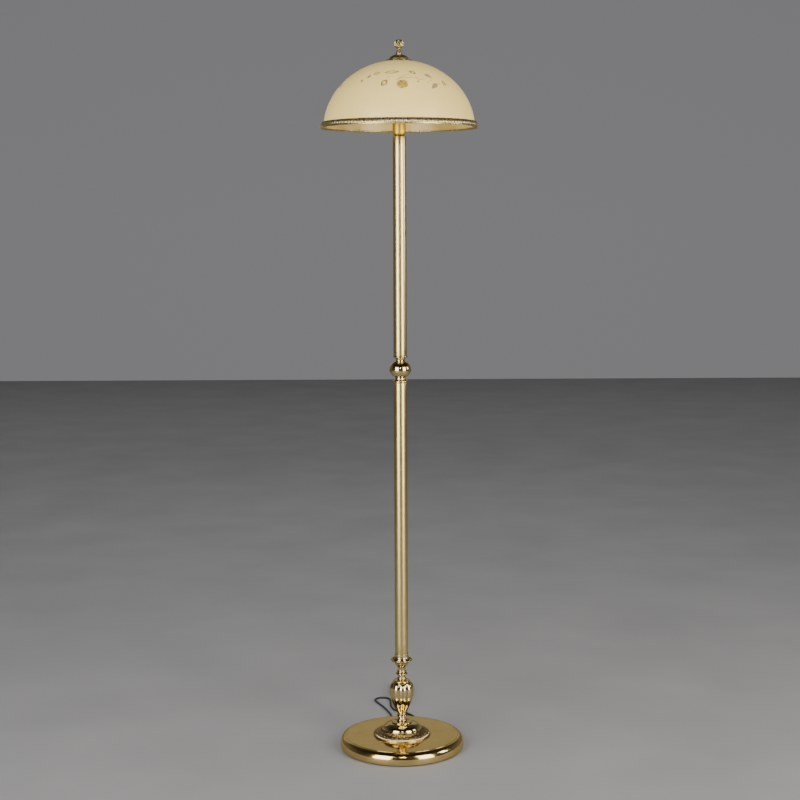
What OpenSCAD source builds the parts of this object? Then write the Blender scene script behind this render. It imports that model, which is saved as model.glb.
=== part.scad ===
// Brass floor lamp with an opal glass dome that opens downwards.
// Millimetres, +Z up, origin on the floor at the centre of the round base.

/* [Base] */
// Outside diameter of the base cover
base_d = 304; // [260:2:340]
// Height of the flat top of the base
base_h = 32; // [32:1:34]
// Thickness of the felt pad under the base
felt_t = 2; // [1.5:0.5:2.5]
// Diameter of the ornamental rosette on the base
rosette_d = 141; // [132:1:150]

/* [Column] */
// Outside diameter of both column tubes
tube_d = 32; // [31:0.5:33]
// Wall of the column tubes
tube_wall = 1; // [0.8:0.1:1.2]
// Length of the lower tube
lower_tube_l = 667; // [500:1:760]
// Length of the upper tube
upper_tube_l = 520; // [400:1:620]
// Largest diameter of the ball between the tubes
ball_d = 52; // [44:1:60]
// Largest diameter of the fluted vase
vase_d = 60.4; // [54:0.2:66]

/* [Shade] */
// Outside diameter of the rim band
rim_d = 376; // [372:1:380]
// Outside diameter of the glass at its lower edge
glass_d = 358; // [356:1:360]
// Height of the glass ellipse from its centre to its crown
glass_h = 161; // [158:1:165]
// Thickness of the glass
glass_t = 4; // [3:0.5:5]

/* [Cord] */
// Diameter of the mains cord
cord_d = 5; // [4.5:0.5:5]

/* [Motion] */
// Tilt of the switch rocker either side of level, in degrees
rocker_tilt = 7; // [4:1:8]

/* [Hidden] */

BRASS = "#c9a24a";
STEEL = "#b9bcc0";
IRON = "#4a4a4c";
BLACK = "#1d1d1f";
CREAM = "#e6dab8";

fine = 96;              // facets of a large turned piece
cover_wall = 1.2;
weight_r = base_d / 2 - 10;
washer_top = 21;        // roof of the recess under the weight
rod_r = 5;              // M10 x 1 lamp tube
rod_bore_r = 3.5;
thread_r = 5.05;        // a tapped hole on that tube
hole_r = 5.2;           // a plain hole on that tube
stud_r = 4;             // M8 rod under the finial
stud_hole_r = 4.06;
cord_r = cord_d / 2;

// Heights of the joints of the stack, from the floor up
rosette_z = base_h;
dome_z = rosette_z + 13.5;
tier_z = dome_z + 16;
neck_z = tier_z + 4.5;
vase_z = neck_z + 18;
shoulder_z = vase_z + 80;
spool_z = shoulder_z + 7;
saucer_z = spool_z + 36;
foot_ring_z = saucer_z + 15;
lower_tube_z = foot_ring_z + 14;
lower_collar_z = lower_tube_z + lower_tube_l;
ball_z = lower_collar_z + 13.5;
ball_h = 39;
upper_collar_z = ball_z + ball_h;
upper_tube_z = upper_collar_z + 14;
cup_z = upper_tube_z + upper_tube_l;
hub_z = cup_z + 40;
hub_h = 24;

// The shade: the glass is a half ellipse, its crown ground flat for the washers
rim_z = cup_z + 18;              // lowest edge of the rim band
glass_z = cup_z + 15;            // centre of the ellipse
glass_foot_z = rim_z + 3.3;
crown_r = 24;
crown_z = glass_z + ellipse_y(glass_d / 2, glass_h, crown_r);
cap_z = crown_z + 2;
washer_z = cap_z + 13;
finial_z = washer_z + 1.2;

// The lampholders lean out of the hub
holder_z = hub_z + 14;
holder_tilt = 12;
holder_start = 26;

// The cord leaves the back of the base at this angle from +X
gland_angle = 80;
gland_z = 11;
gland_tip = base_d / 2 + 32;
tip_x = gland_tip * cos(gland_angle);
tip_y = gland_tip * sin(gland_angle);
wall_x = base_d / 2 * cos(gland_angle);
wall_y = base_d / 2 * sin(gland_angle);

// The inline switch and the hank lie behind the base, along Y
switch_y = 306;
switch_l = 60;
switch_w = 24;
switch_h = 16;
switch_split = 8;
case_wall = 1.8;
rocker_l = 20;
rocker_w = 11;
pivot_y = switch_y + switch_l / 2;
pivot_z = 12.5;
pivot_r = 1.5;
hank_near = 416;
hank_far = 481;
hank_r = 22.5;
hank_lift = 1;
hank_h = 15;
plug_t = 13.6;
plug_z = hank_lift + hank_h + plug_t / 2;
plug_rear = 441;

// Route of the cord from the base's wall, through the gland, to the switch
LEAD = [
    [wall_x, wall_y, gland_z], [tip_x, tip_y, gland_z], [34, 194, 10], [35, 206, 6.5],
    [33, 218, 3], [18, 244, 2.5], [-7, 266, 2.5], [-18, 278, 2.5], [-25, 295, 2.5],
    [-29, 318, 2.5], [-31, 363, 2.5], [-36, 378, 2.5], [-49, 386, 2.5], [-63, 382, 2.5],
    [-71, 369, 2.5], [-68, 351, 2.5], [-48, 303, 2.5], [-31, 248, 2.5], [-24, 205, 2.5],
    [-16, 190, 2.5], [-3, 184, 2.5], [10, 189, 2.5], [16, 202, 2.5], [14, 218, 3],
    [9, 233, 5.5], [4, 248, 8], [0, 264, 8.8], [0, 284, 8], [0, 314, 8]
];
// From the switch to the hank
LINK = [[0, 358, 8], [0, 368, 8], [5, 381, 6.8], [13, 391, 5], [19, 402, 3.8]];
// From the top of the hank to the plug, which lies on it
TAIL = [
    [-15, 478, 14], [-12.5, 470, 15.2], [-8, 461, 18], [-2.5, 452, 21.6],
    [0, plug_rear + 5, plug_z], [0, plug_rear, plug_z]
];

function ellipse_y(a, b, x) = b * sqrt(1 - pow(x / a, 2));
// Points of an ellipse's arc in the (radius, height) plane
function arc(c, a, b, from, to, n = 12) =
    [for (i = [0:n]) let (t = from + (to - from) * i / n) [c[0] + a * cos(t), c[1] + b * sin(t)]];
// A cubic curve from p to s that leaves towards q and arrives from r
function curve(p, q, r, s, n = 10) =
    [for (i = [0:n]) let (t = i / n, u = 1 - t)
        u * u * u * p + 3 * u * u * t * q + 3 * u * t * t * r + t * t * t * s];
function reversed(list) = [for (i = [len(list) - 1:-1:0]) list[i]];
// A turned bead from height z to z + h that stands out from radius r by b
function bead(r, z, h, b, n = 8) =
    [for (i = [0:n]) [r + b * sin(180 * i / n), z + h * i / n]];
function unit(v) = v / norm(v);
function heading(path, i) =
    unit(path[min(i + 1, len(path) - 1)] - path[max(i - 1, 0)]);
function ring_point(p, t, ref, r, angle) =
    let (side = unit(cross(t, ref)), up = cross(side, t)) p + r * (cos(angle) * side + sin(angle) * up);

module turned(outline) { rotate_extrude($fn = fine) polygon(outline); }

module disc(r, z, h, bore = 0) {
    translate([0, 0, z]) difference() {
        cylinder(r = r, h = h, $fn = fine);
        if (bore > 0) translate([0, 0, -1]) cylinder(r = bore, h = h + 2, $fn = 48);
    }
}

// A round tube of radius r swept along a path; ref is a direction that the path never takes
module swept(path, r, sides = 8, ref = [0, 0, 1]) {
    n = len(path);
    points = [for (i = [0:n - 1]) for (j = [0:sides - 1])
        ring_point(path[i], heading(path, i), ref, r, 360 * j / sides)];
    walls = [for (i = [0:n - 2]) for (j = [0:sides - 1]) let (k = (j + 1) % sides)
        [i * sides + j, i * sides + k, (i + 1) * sides + k, (i + 1) * sides + j]];
    first = [for (j = [sides - 1:-1:0]) j];
    last = [for (j = [0:sides - 1]) (n - 1) * sides + j];
    polyhedron(points, concat(walls, [first, last]), convexity = 8);
}

module lamp_tube(z, h) {
    translate([0, 0, z]) difference() {
        cylinder(r = rod_r, h = h, $fn = 48);
        translate([0, 0, -1]) cylinder(r = rod_bore_r, h = h + 2, $fn = 48);
    }
}

module hex_nut(across, z, h, bore) {
    translate([0, 0, z]) difference() {
        cylinder(r = across / 2 / cos(30), h = h, $fn = 6);
        translate([0, 0, -1]) cylinder(r = bore, h = h + 2, $fn = 48);
    }
}

// Along the line on which the cord leaves the base, x outwards
module gland_line() { rotate([0, 0, gland_angle]) children(); }

// ---- Base

module felt_pad() { color("#2b2d2b") disc(weight_r + 2, 0, felt_t); }

module base_weight() {
    color(IRON) difference() {
        turned([
            [hole_r, felt_t], [weight_r - 2, felt_t], [weight_r, felt_t + 2], [weight_r, 14],
            [weight_r - 6, 18], [42, 18], [34, base_h - cover_wall], [hole_r, base_h - cover_wall]
        ]);
        translate([0, 0, felt_t - 1]) cylinder(r = 28, h = washer_top - felt_t + 1, $fn = fine);
        gland_line() translate([20, -5, felt_t - 1]) cube([weight_r, 10, 15]);
    }
}

module base_cover() {
    edge = base_d / 2;
    wide_z = 14;
    round_r = 14;
    foot = felt_t + 0.4;
    outer = concat(
        curve([edge - 2.6, foot], [edge - 1, foot + 2.6], [edge, foot + 7], [edge, wide_z], 8),
        arc([edge - round_r, wide_z], round_r, base_h - wide_z, 8, 90, 12));
    inner = concat(
        curve([edge - 4, foot], [edge - 2.3, foot + 2.8], [edge - 1.2, foot + 7], [edge - 1.2, wide_z], 8),
        arc([edge - round_r, wide_z], round_r - 1.2, base_h - wide_z - cover_wall, 8, 90, 12));
    color(BRASS) difference() {
        turned(concat(outer, [[hole_r, base_h], [hole_r, base_h - cover_wall]], reversed(inner)));
        gland_line() translate([0, 0, gland_z]) along_x(edge - 20, edge + 10, 5.5);
    }
}

module clamp_washer() { color(STEEL) disc(13, washer_top - 1.6, 1.6, hole_r); }
module clamp_nut() { color(STEEL) hex_nut(17, washer_top - 6.6, 5, thread_r); }
module lower_rod() { color(STEEL) lamp_tube(washer_top - 8, lower_tube_z + 22 - washer_top); }

// ---- Foot of the column

module base_rosette() {
    r = rosette_d / 2;
    outer = concat([[r, rosette_z], [r, rosette_z + 1.6]],
        curve([r - 1, rosette_z + 2.4], [r - 5, rosette_z + 6], [r - 14, rosette_z + 10],
            [r - 22, rosette_z + 13]),
        [[hole_r, rosette_z + 13.5]]);
    inner = concat([[hole_r, rosette_z + 11.4]],
        curve([r - 24, rosette_z + 11], [r - 16, rosette_z + 8], [r - 8, rosette_z + 4.5],
            [r - 4, rosette_z]));
    color(BRASS) turned(concat(outer, inner));
}

module rosette_dome() {
    outer = concat([[47.5, dome_z], [47.5, dome_z + 1.5]],
        arc([22, dome_z + 1.5], 25.5, 14.5, 5, 90, 12), [[hole_r, dome_z + 16]]);
    inner = concat([[hole_r, dome_z + 14.4]], arc([22, dome_z + 1.5], 23.7, 12.9, 90, 0, 12),
        [[45.7, dome_z]]);
    color(BRASS) turned(concat(outer, inner));
}

module tier_collar() {
    color(BRASS) turned(concat([[hole_r, tier_z], [23.6, tier_z]],
        arc([23.4, tier_z + 1.4], 1.3, 1.4, -90, 90, 8),
        curve([22, tier_z + 2.9], [19, tier_z + 3.2], [15, tier_z + 3.6], [13.5, tier_z + 4.5]),
        [[hole_r, tier_z + 4.5]]));
}

module lower_neck() {
    color(BRASS) turned(concat([[hole_r, neck_z], [11, neck_z]],
        bead(11, neck_z, 4.5, 1.8),
        curve([10.4, neck_z + 4.7], [9, neck_z + 6], [8.8, neck_z + 8], [9.4, neck_z + 10]),
        bead(10, neck_z + 10.5, 5, 2.2), [[9.6, neck_z + 16], [9.8, neck_z + 18], [hole_r, neck_z + 18]]));
}

module fluted_vase() {
    r = vase_d / 2;
    wide_z = vase_z + 59;
    top_z = vase_z + 80;
    low = curve([10.4, vase_z], [15.5, vase_z + 14], [r - 0.6, vase_z + 33], [r, wide_z], 14);
    high = curve([r, wide_z], [r, wide_z + 12], [r - 4, wide_z + 19], [20.5, top_z], 10);
    low_in = curve([hole_r, vase_z + 8], [9, vase_z + 22], [r - 5, vase_z + 38], [r - 4, wide_z], 14);
    high_in = curve([r - 4, wide_z], [r - 4, wide_z + 10], [r - 8, wide_z + 16], [hole_r, top_z - 3], 10);
    color(BRASS) turned(concat([[hole_r, vase_z]], low, high, [[hole_r, top_z]],
        reversed(high_in), reversed(low_in)));
}

module vase_shoulder() {
    color(BRASS) turned(concat([[hole_r, shoulder_z], [19.6, shoulder_z]],
        arc([19, shoulder_z + 2.4], 2, 2.4, -60, 90, 8),
        curve([18, shoulder_z + 5], [14, shoulder_z + 5.4], [11, shoulder_z + 6], [9.6, shoulder_z + 7]),
        [[hole_r, shoulder_z + 7]]));
}

module turned_spool() {
    z = spool_z;
    color(BRASS) turned(concat([[hole_r, z], [9.2, z]],
        bead(9.2, z, 5, 1.8), [[8.9, z + 5.6], [9, z + 9.5], [10.5, z + 11.5]],
        bead(12, z + 12, 4.6, 2.7), [[10.3, z + 17.2]],
        bead(10, z + 17.6, 4.4, 1.8),
        curve([9.6, z + 22.6], [9.8, z + 28], [11, z + 33], [14.5, z + 36]),
        [[hole_r, z + 36]]));
}

module saucer() {
    z = saucer_z;
    outer = concat([[14.6, z]], curve([14.8, z], [16.6, z + 2], [17.2, z + 6], [18.4, z + 8], 6),
        curve([18.4, z + 8], [22.5, z + 8.6], [25.6, z + 9.8], [26.3, z + 12.6], 8),
        arc([25.6, z + 13.4], 1.4, 1.2, -30, 170, 8));
    inner = concat(curve([24, z + 12.8], [22.5, z + 10.8], [20, z + 10.4], [18.6, z + 11.4], 6),
        [[18.2, z + 15], [hole_r, z + 15], [hole_r, z]]);
    color(BRASS) turned(concat(outer, inner));
}

module foot_ring() {
    z = foot_ring_z;
    r = tube_d / 2;
    color(BRASS) turned(concat([[hole_r, z], [17.2, z]],
        bead(17, z + 0.4, 6, 1.6), [[17, z + 6.8]],
        curve([17, z + 7], [17, z + 10], [r + 0.7, z + 12], [r + 0.7, z + 14]), [[hole_r, z + 14]]));
}

// ---- Column

module column_tube(z, length) {
    translate([0, 0, z]) difference() {
        cylinder(d = tube_d, h = length, $fn = fine);
        translate([0, 0, -1]) cylinder(d = tube_d - 2 * tube_wall, h = length + 2, $fn = fine);
    }
}

module tube_bush(z) { disc(tube_d / 2 - tube_wall, z, 12, thread_r); }

module lower_tube() { color(BRASS) column_tube(lower_tube_z, lower_tube_l); }
module foot_bush() { color(STEEL) tube_bush(lower_tube_z); }
module knot_lower_bush() { color(STEEL) tube_bush(lower_collar_z - 12); }

module knot_lower_collar() {
    z = lower_collar_z;
    color(BRASS) turned(concat([[hole_r, z], [16.4, z]],
        arc([16, z + 3.6], 1.9, 2.6, -80, 80, 8),
        curve([15.4, z + 6.6], [13, z + 7.6], [12, z + 10], [12.2, z + 13.5]), [[hole_r, z + 13.5]]));
}

module knot_ball() {
    middle = ball_z + ball_h / 2;
    lean = 62;
    outer = concat([[11.8, ball_z]], arc([0, middle], ball_d / 2, ball_h / 2 / sin(lean), -lean, lean, 24),
        [[11.2, ball_z + ball_h]]);
    inner = arc([0, middle], ball_d / 2 - 2, ball_h / 2 - 2, 76, -76, 20);
    color(BRASS) turned(concat([[hole_r, ball_z]], outer, [[hole_r, ball_z + ball_h]], inner));
}

module knot_upper_collar() {
    z = upper_collar_z;
    color(BRASS) turned(concat([[hole_r, z], [10.8, z]],
        curve([10.8, z + 0.5], [10.6, z + 5], [12, z + 8], [15, z + 9.6]),
        arc([15.2, z + 11.6], 1.6, 1.8, -80, 80, 8), [[15.6, z + 14], [hole_r, z + 14]]));
}

module knot_nipple() { color(STEEL) lamp_tube(lower_collar_z - 14, upper_tube_z - lower_collar_z + 28); }
module knot_upper_bush() { color(STEEL) tube_bush(upper_tube_z); }
module upper_tube() { color(BRASS) column_tube(upper_tube_z, upper_tube_l); }
module top_bush() { color(STEEL) tube_bush(cup_z - 12); }
module top_nipple() { color(STEEL) lamp_tube(cup_z - 14, hub_z - cup_z + 22); }

module top_cup() {
    r = 15.7;
    outer = concat([[8.5, cup_z]], arc([8.5, cup_z + 10], r - 8.5, 10, -85, 0, 10),
        [[r, cup_z + 36]], arc([r - 4, cup_z + 36], 4, 4, 10, 90, 6));
    inner = concat(arc([r - 5.4, cup_z + 34], 4, 4, 90, 0, 6), [[r - 1.4, cup_z + 12]],
        arc([8.5, cup_z + 11.6], r - 9.9, 10, 0, -85, 10));
    color(BRASS) turned(concat([[hole_r, cup_z]], outer, [[hole_r, cup_z + 40], [hole_r, cup_z + 38.4]],
        inner, [[hole_r, cup_z + 1.8]]));
}

// ---- Lampholders and bulbs

// Along a lampholder's axis, x outwards; side is 1 on the right and -1 on the left
module holder_line(side) {
    rotate([0, 0, side > 0 ? 0 : 180]) translate([0, 0, holder_z]) rotate([0, -holder_tilt, 0]) children();
}

module along_x(from, to, r, bore = 0) {
    translate([from, 0, 0]) rotate([0, 90, 0]) difference() {
        cylinder(r = r, h = to - from, $fn = 64);
        if (bore > 0) translate([0, 0, -1]) cylinder(r = bore, h = to - from + 2, $fn = 48);
    }
}

module turned_x(outline) { rotate([0, 90, 0]) turned(outline); }

module cluster_hub() {
    color(BRASS) difference() {
        turned(concat([[0, hub_z], [13, hub_z]], arc([11, hub_z + 6], 6, 6, -60, 0, 6),
            [[17, hub_z + 19]], arc([10, hub_z + 19], 7, 5, 10, 90, 6), [[0, hub_z + hub_h]]));
        translate([0, 0, hub_z - 1]) cylinder(r = thread_r, h = 9, $fn = 48);
        translate([0, 0, hub_z + 16]) cylinder(r = stud_hole_r, h = 10, $fn = 48);
        translate([0, 0, hub_z + 7]) cylinder(r = 3.6, h = 8, $fn = 48);
        for (side = [-1, 1]) holder_line(side) along_x(2, 30, thread_r);
    }
}

module arm_nipples() {
    color(STEEL) for (side = [-1, 1]) holder_line(side) along_x(10.5, holder_start + 3, rod_r, rod_bore_r);
}

module lampholder(side) {
    r = 19;
    long = 42;
    color(BLACK) holder_line(side) translate([holder_start, 0, 0]) turned_x(concat(
        [[thread_r, 0], [12, 0]], curve([12, 0], [16, 1], [r, 4], [r, 10]),
        [[r, 30], [r + 1.4, 30.6], [r + 1.4, 36], [r - 0.6, 37], [r - 1.4, long],
         [14.2, long], [14.2, 12], [thread_r, 12]]));
}
module lampholder_left() { lampholder(-1); }
module lampholder_right() { lampholder(1); }

module bulb_cap(side) {
    color(STEEL) holder_line(side) {
        along_x(holder_start + 14, holder_start + 41, 13.2);
        along_x(holder_start + 12, holder_start + 14, 6);
    }
}
module bulb_cap_left() { bulb_cap(-1); }
module bulb_cap_right() { bulb_cap(1); }

module bulb_glass(side) {
    r = 29;
    wall = 1;
    color("#f4f0e4") holder_line(side) translate([holder_start + 41, 0, 0]) turned_x(concat(
        curve([13.2, 0], [13.6, 15], [r, 22], [r, 44], 12), arc([0, 44], r, 31, 8, 90, 10),
        arc([0, 44], r - wall, 31 - wall, 90, 8, 10),
        curve([r - wall, 44], [r - wall, 22], [12.6, 15], [12.2, 0], 12)));
}
module bulb_glass_left() { bulb_glass(-1); }
module bulb_glass_right() { bulb_glass(1); }

// ---- Shade

module shade_rod() {
    color(STEEL) translate([0, 0, hub_z + 17]) cylinder(r = stud_r, h = finial_z + 6 - hub_z - 17, $fn = 48);
}
module seat_nut() { color(STEEL) hex_nut(13, crown_z - glass_t - 12, 6, stud_hole_r); }
module seat_disc() { color(BRASS) disc(25, crown_z - glass_t - 6, 3.6, stud_hole_r); }
module seat_rubber() { color(BLACK) disc(21, crown_z - glass_t - 2.4, 2.4, stud_hole_r); }

module glass_dome() {
    a = glass_d / 2;
    inner_a = a - glass_t;
    inner_h = glass_h - glass_t;
    foot = asin((glass_foot_z - glass_z) / glass_h);
    foot_in = asin((glass_foot_z - glass_z) / inner_h);
    top = acos(crown_r / a);
    top_in = asin((crown_z - glass_t - glass_z) / inner_h);
    color(CREAM, 0.9) turned(concat(
        arc([0, glass_z], a, glass_h, foot, top, 24), [[6, crown_z], [6, crown_z - glass_t]],
        arc([0, glass_z], inner_a, inner_h, top_in, foot_in, 24)));
}

module rim_band() {
    r = rim_d / 2;
    z = rim_z;
    inner_r = glass_d / 2 + 0.1;
    top_z = z + 15;
    outer = curve([inner_r, top_z], [inner_r + 4, top_z - 1.6], [r - 1, z + 7], [r, z + 2.2], 8);
    inner = curve([r - 1.2, z + 2.6], [r - 2.2, z + 6.4], [inner_r + 4, top_z - 3.4],
        [inner_r + 1.6, top_z - 2.4], 8);
    color(BRASS) turned(concat(outer, arc([r - 1, z + 1], 1, 1, 30, -120, 6), [[r - 2, z + 1.4]], inner,
        [[inner_r + 1, top_z - 3], [inner_r + 1, z + 2.2], [inner_r - 6.5, z + 2.2], [inner_r - 6.5, z + 3.2],
         [inner_r, z + 3.2]]));
}

module cap_rubber() { color(BLACK) disc(19, crown_z, 2, stud_hole_r); }

module top_cap() {
    z = cap_z;
    color(BRASS) turned(concat(
        [[stud_hole_r, z], [19.4, z], [20, z - 1.7], [crown_r, z - 1.8], [32.4, z - 3.1], [32.8, z - 2.2],
         [28, z - 0.2]],
        arc([0, z], 24, 13, 2, 80, 12), [[stud_hole_r, z + 13]]));
}

module finial_washer() { color(BRASS) disc(6, washer_z, 1.2, stud_hole_r); }

module finial() {
    z = finial_z;
    color(BRASS) turned(concat(
        [[stud_hole_r, z], [8, z], [8, z + 1.8]],
        curve([7.6, z + 2.4], [6, z + 5], [4.6, z + 8], [4.3, z + 11.4], 6),
        curve([4.3, z + 11.4], [4.6, z + 15], [11.1, z + 18], [11.1, z + 23.6], 8),
        curve([11.1, z + 23.6], [11.1, z + 29], [6, z + 32.4], [0, z + 32.6], 8),
        [[0, z + 7], [stud_hole_r, z + 7]]));
}

// ---- Wiring inside the lamp

module supply_cable() {
    bend = 8;
    low = 6;
    outside = [for (r = [base_d / 2, 140, 124, 108]) [r, 0, gland_z]];
    along = [for (r = [90, 74, 58, 42, 26, 14]) [r, 0, low + (r - 14) * (gland_z - low) / 94]];
    corner = [for (p = arc([bend, low + bend], bend, bend, -90, -180, 5)) [p[0], 0, p[1]]];
    up = [for (z = [low + bend + 12:75:hub_z + 10]) [0, 0, z]];
    path = concat(outside, along, corner, up, [[0, 0, hub_z + 11]]);
    color(BLACK) gland_line() swept(path, cord_r, 8, [0, 1, 0]);
}

module lamp_leads() {
    color("#6b4a2c") for (side = [-1, 1]) holder_line(side) along_x(6, holder_start + 12, 1.5);
}

// ---- Cord, switch and plug

module cord_gland() {
    edge = base_d / 2;
    color(BLACK) gland_line() translate([edge, 0, gland_z]) turned_x([
        [cord_r, -9], [5.4, -9], [7, -7.6], [7, -4.6], [5.4, -4.6], [5.4, 0.2],
        [7, 0.2], [7, 2.2], [5.2, 3], [3.6, gland_tip - edge], [cord_r, gland_tip - edge]]);
}

module cord_lead() { color(BLACK) swept(LEAD, cord_r); }
module cord_link() { color(BLACK) swept(LINK, cord_r); }
module cord_tail() { color(BLACK) swept(TAIL, cord_r); }

// A plate with rounded corners under the switch's case, drawn in by inset all round
module case_plate(inset, z, h) {
    w = switch_w - 2 * inset;
    l = switch_l - 2 * inset;
    r = 6 - inset / 2;
    translate([0, switch_y + inset, z]) linear_extrude(height = h) union() {
        translate([-w / 2 + r, 0]) square([w - 2 * r, l]);
        translate([-w / 2, r]) square([w, l - 2 * r]);
        for (x = [-w / 2 + r, w / 2 - r], y = [r, l - r]) translate([x, y]) circle(r = r, $fn = 32);
    }
}

// One half of the switch's case between two heights, with its cavity between two others
module switch_half(bottom, top, hollow_bottom, hollow_top) {
    difference() {
        case_plate(0, bottom, top - bottom);
        case_plate(case_wall, hollow_bottom, hollow_top - hollow_bottom);
        translate([0, switch_y - 1, switch_split]) rotate([-90, 0, 0])
            cylinder(r = cord_r, h = switch_l + 2, $fn = 32);
    }
}

// At the two screws of the case, which stand at opposite corners
module at_screws() {
    for (side = [-1, 1]) translate([side * 7.6, pivot_y - side * 21, 0]) children();
}

module switch_base() {
    color(BLACK) difference() {
        union() {
            switch_half(0, switch_split, case_wall, switch_split + 1);
            at_screws() cylinder(r = 3.2, h = switch_split, $fn = 32);
        }
        at_screws() translate([0, 0, -1]) cylinder(r = 2.5, h = 4, $fn = 32);
        at_screws() cylinder(r = 1.4, h = switch_split + 1, $fn = 32);
    }
}

module switch_cover() {
    top_h = switch_h - switch_split;
    color(BLACK) difference() {
        union() {
            switch_half(switch_split, switch_h, switch_split - 1, switch_h - case_wall);
            at_screws() translate([0, 0, switch_split]) cylinder(r = 3, h = top_h - 1, $fn = 32);
            for (side = [-1, 1]) translate([side * (rocker_w / 2 + 1.9) - 1.5, pivot_y - 7, switch_split + 1])
                cube([3, 14, top_h - 2]);
        }
        translate([-rocker_w / 2 - 0.4, pivot_y - rocker_l / 2 - 0.6, switch_h - 6])
            cube([rocker_w + 0.8, rocker_l + 1.2, 10]);
        translate([0, pivot_y, pivot_z]) along_x(-9, 9, pivot_r + 0.06);
        at_screws() translate([0, 0, switch_split - 1]) cylinder(r = 1.35, h = 6, $fn = 32);
    }
}

module switch_rocker() {
    end = rocker_l / 2;
    color("#26262a") translate([0, pivot_y, pivot_z]) rotate([-rocker_tilt, 0, 0]) {
        translate([-rocker_w / 2, 0, 0]) rotate([90, 0, 90]) linear_extrude(height = rocker_w) polygon([
            [-end, 2.6], [0, 3.9], [end, 2.6], [end, 0.4], [2.4, -2.4], [-2.4, -2.4], [-end, 0.4]]);
        along_x(-rocker_w / 2 - 2.6, rocker_w / 2 + 2.6, pivot_r);
    }
}

module switch_contacts() {
    color(BRASS) for (y = [-17, 13]) translate([-7, pivot_y + y, case_wall]) cube([5, 4, 5]);
}

module switch_screws() {
    color(STEEL) at_screws() {
        translate([0, 0, 0.8]) cylinder(r = 2.4, h = 2.2, $fn = 32);
        translate([0, 0, 3]) cylinder(r = 1.3, h = 9.5, $fn = 32);
    }
}

module cord_hank() {
    color(BLACK) translate([0, 0, hank_lift]) linear_extrude(height = hank_h) union() {
        for (y = [hank_near, hank_far]) translate([0, y]) circle(r = hank_r, $fn = 64);
        translate([-hank_r, hank_near]) square([2 * hank_r, hank_far - hank_near]);
    }
}

module hank_tie() {
    middle = (hank_near + hank_far) / 2;
    w = 2 * hank_r;
    color("#3a3a3d") translate([0, middle + 5, 0]) rotate([90, 0, 0]) linear_extrude(height = 10)
        difference() {
            translate([-w / 2 - 1, 0]) square([w + 2, hank_h + 2 * hank_lift]);
            translate([-w / 2, hank_lift]) square([w, hank_h]);
        }
}

module plug_body() {
    half_w = 17.6;
    boot = 12;
    front = plug_rear - boot - 36;
    color(BLACK) translate([0, 0, plug_z]) {
        translate([0, plug_rear, 0]) rotate([90, 0, 0]) cylinder(r1 = 3.6, r2 = 5.4, h = boot, $fn = 32);
        translate([0, 0, -plug_t / 2]) linear_extrude(height = plug_t) polygon([
            [-half_w, front], [half_w, front], [half_w, front + 10], [14, front + 14],
            [9, plug_rear - boot - 4], [7, plug_rear - boot], [-7, plug_rear - boot],
            [-9, plug_rear - boot - 4], [-14, front + 14], [-half_w, front + 10]]);
    }
}

module plug_pins() {
    front = plug_rear - 48;
    color(STEEL) for (x = [-9.5, 9.5]) translate([x, front, plug_z]) rotate([90, 0, 0]) {
        cylinder(r = 2, h = 18, $fn = 32);
        translate([0, 0, 18]) cylinder(r1 = 2, r2 = 1.2, h = 1, $fn = 32);
    }
}

felt_pad();
base_weight();
base_cover();
clamp_washer();
clamp_nut();
lower_rod();
base_rosette();
rosette_dome();
tier_collar();
lower_neck();
fluted_vase();
vase_shoulder();
turned_spool();
saucer();
foot_ring();
lower_tube();
foot_bush();
knot_lower_bush();
knot_lower_collar();
knot_ball();
knot_upper_collar();
knot_nipple();
knot_upper_bush();
upper_tube();
top_bush();
top_nipple();
top_cup();
cluster_hub();
arm_nipples();
lampholder_left();
lampholder_right();
bulb_cap_left();
bulb_cap_right();
bulb_glass_left();
bulb_glass_right();
shade_rod();
seat_nut();
seat_disc();
seat_rubber();
glass_dome();
rim_band();
cap_rubber();
top_cap();
finial_washer();
finial();
supply_cable();
lamp_leads();
cord_gland();
cord_lead();
switch_base();
switch_cover();
switch_rocker();
switch_contacts();
switch_screws();
cord_link();
cord_hank();
hank_tie();
cord_tail();
plug_body();
plug_pins();
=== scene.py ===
from math import acos, asin, ceil, cos, degrees, hypot, pi, radians, sin, sqrt, tau

import bmesh
import bpy
from mathutils import Matrix, Vector


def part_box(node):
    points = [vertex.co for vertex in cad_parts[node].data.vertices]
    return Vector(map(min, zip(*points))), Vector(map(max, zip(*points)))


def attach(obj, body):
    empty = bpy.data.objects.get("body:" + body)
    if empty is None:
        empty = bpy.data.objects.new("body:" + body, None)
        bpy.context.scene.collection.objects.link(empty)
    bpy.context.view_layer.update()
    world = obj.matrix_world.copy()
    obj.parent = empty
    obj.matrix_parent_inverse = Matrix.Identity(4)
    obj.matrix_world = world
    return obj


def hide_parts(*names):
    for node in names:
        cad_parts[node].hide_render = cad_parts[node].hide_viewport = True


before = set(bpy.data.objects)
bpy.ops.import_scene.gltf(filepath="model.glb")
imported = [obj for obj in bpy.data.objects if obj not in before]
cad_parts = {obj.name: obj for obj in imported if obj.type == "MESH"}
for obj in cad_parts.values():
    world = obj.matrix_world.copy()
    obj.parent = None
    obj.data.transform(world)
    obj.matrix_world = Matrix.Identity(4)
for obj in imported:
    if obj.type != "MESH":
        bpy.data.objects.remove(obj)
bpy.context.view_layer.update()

# Profiles and reliefs are in millimetres and go through MM when a mesh is made.
MM = 0.001
LAMP = "lamp"


# ---------------------------------------------------------------- camera, floor and lights

EYE = Vector((-0.001, -3.706, 1.287))
PITCH = radians(6.55)
ROLL = radians(-0.26)
LENS = 69.66
FLOOR_HALF = 9.0
AIM = Vector((0, 0, 0.95))      # the point of the lamp that the softboxes face
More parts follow.
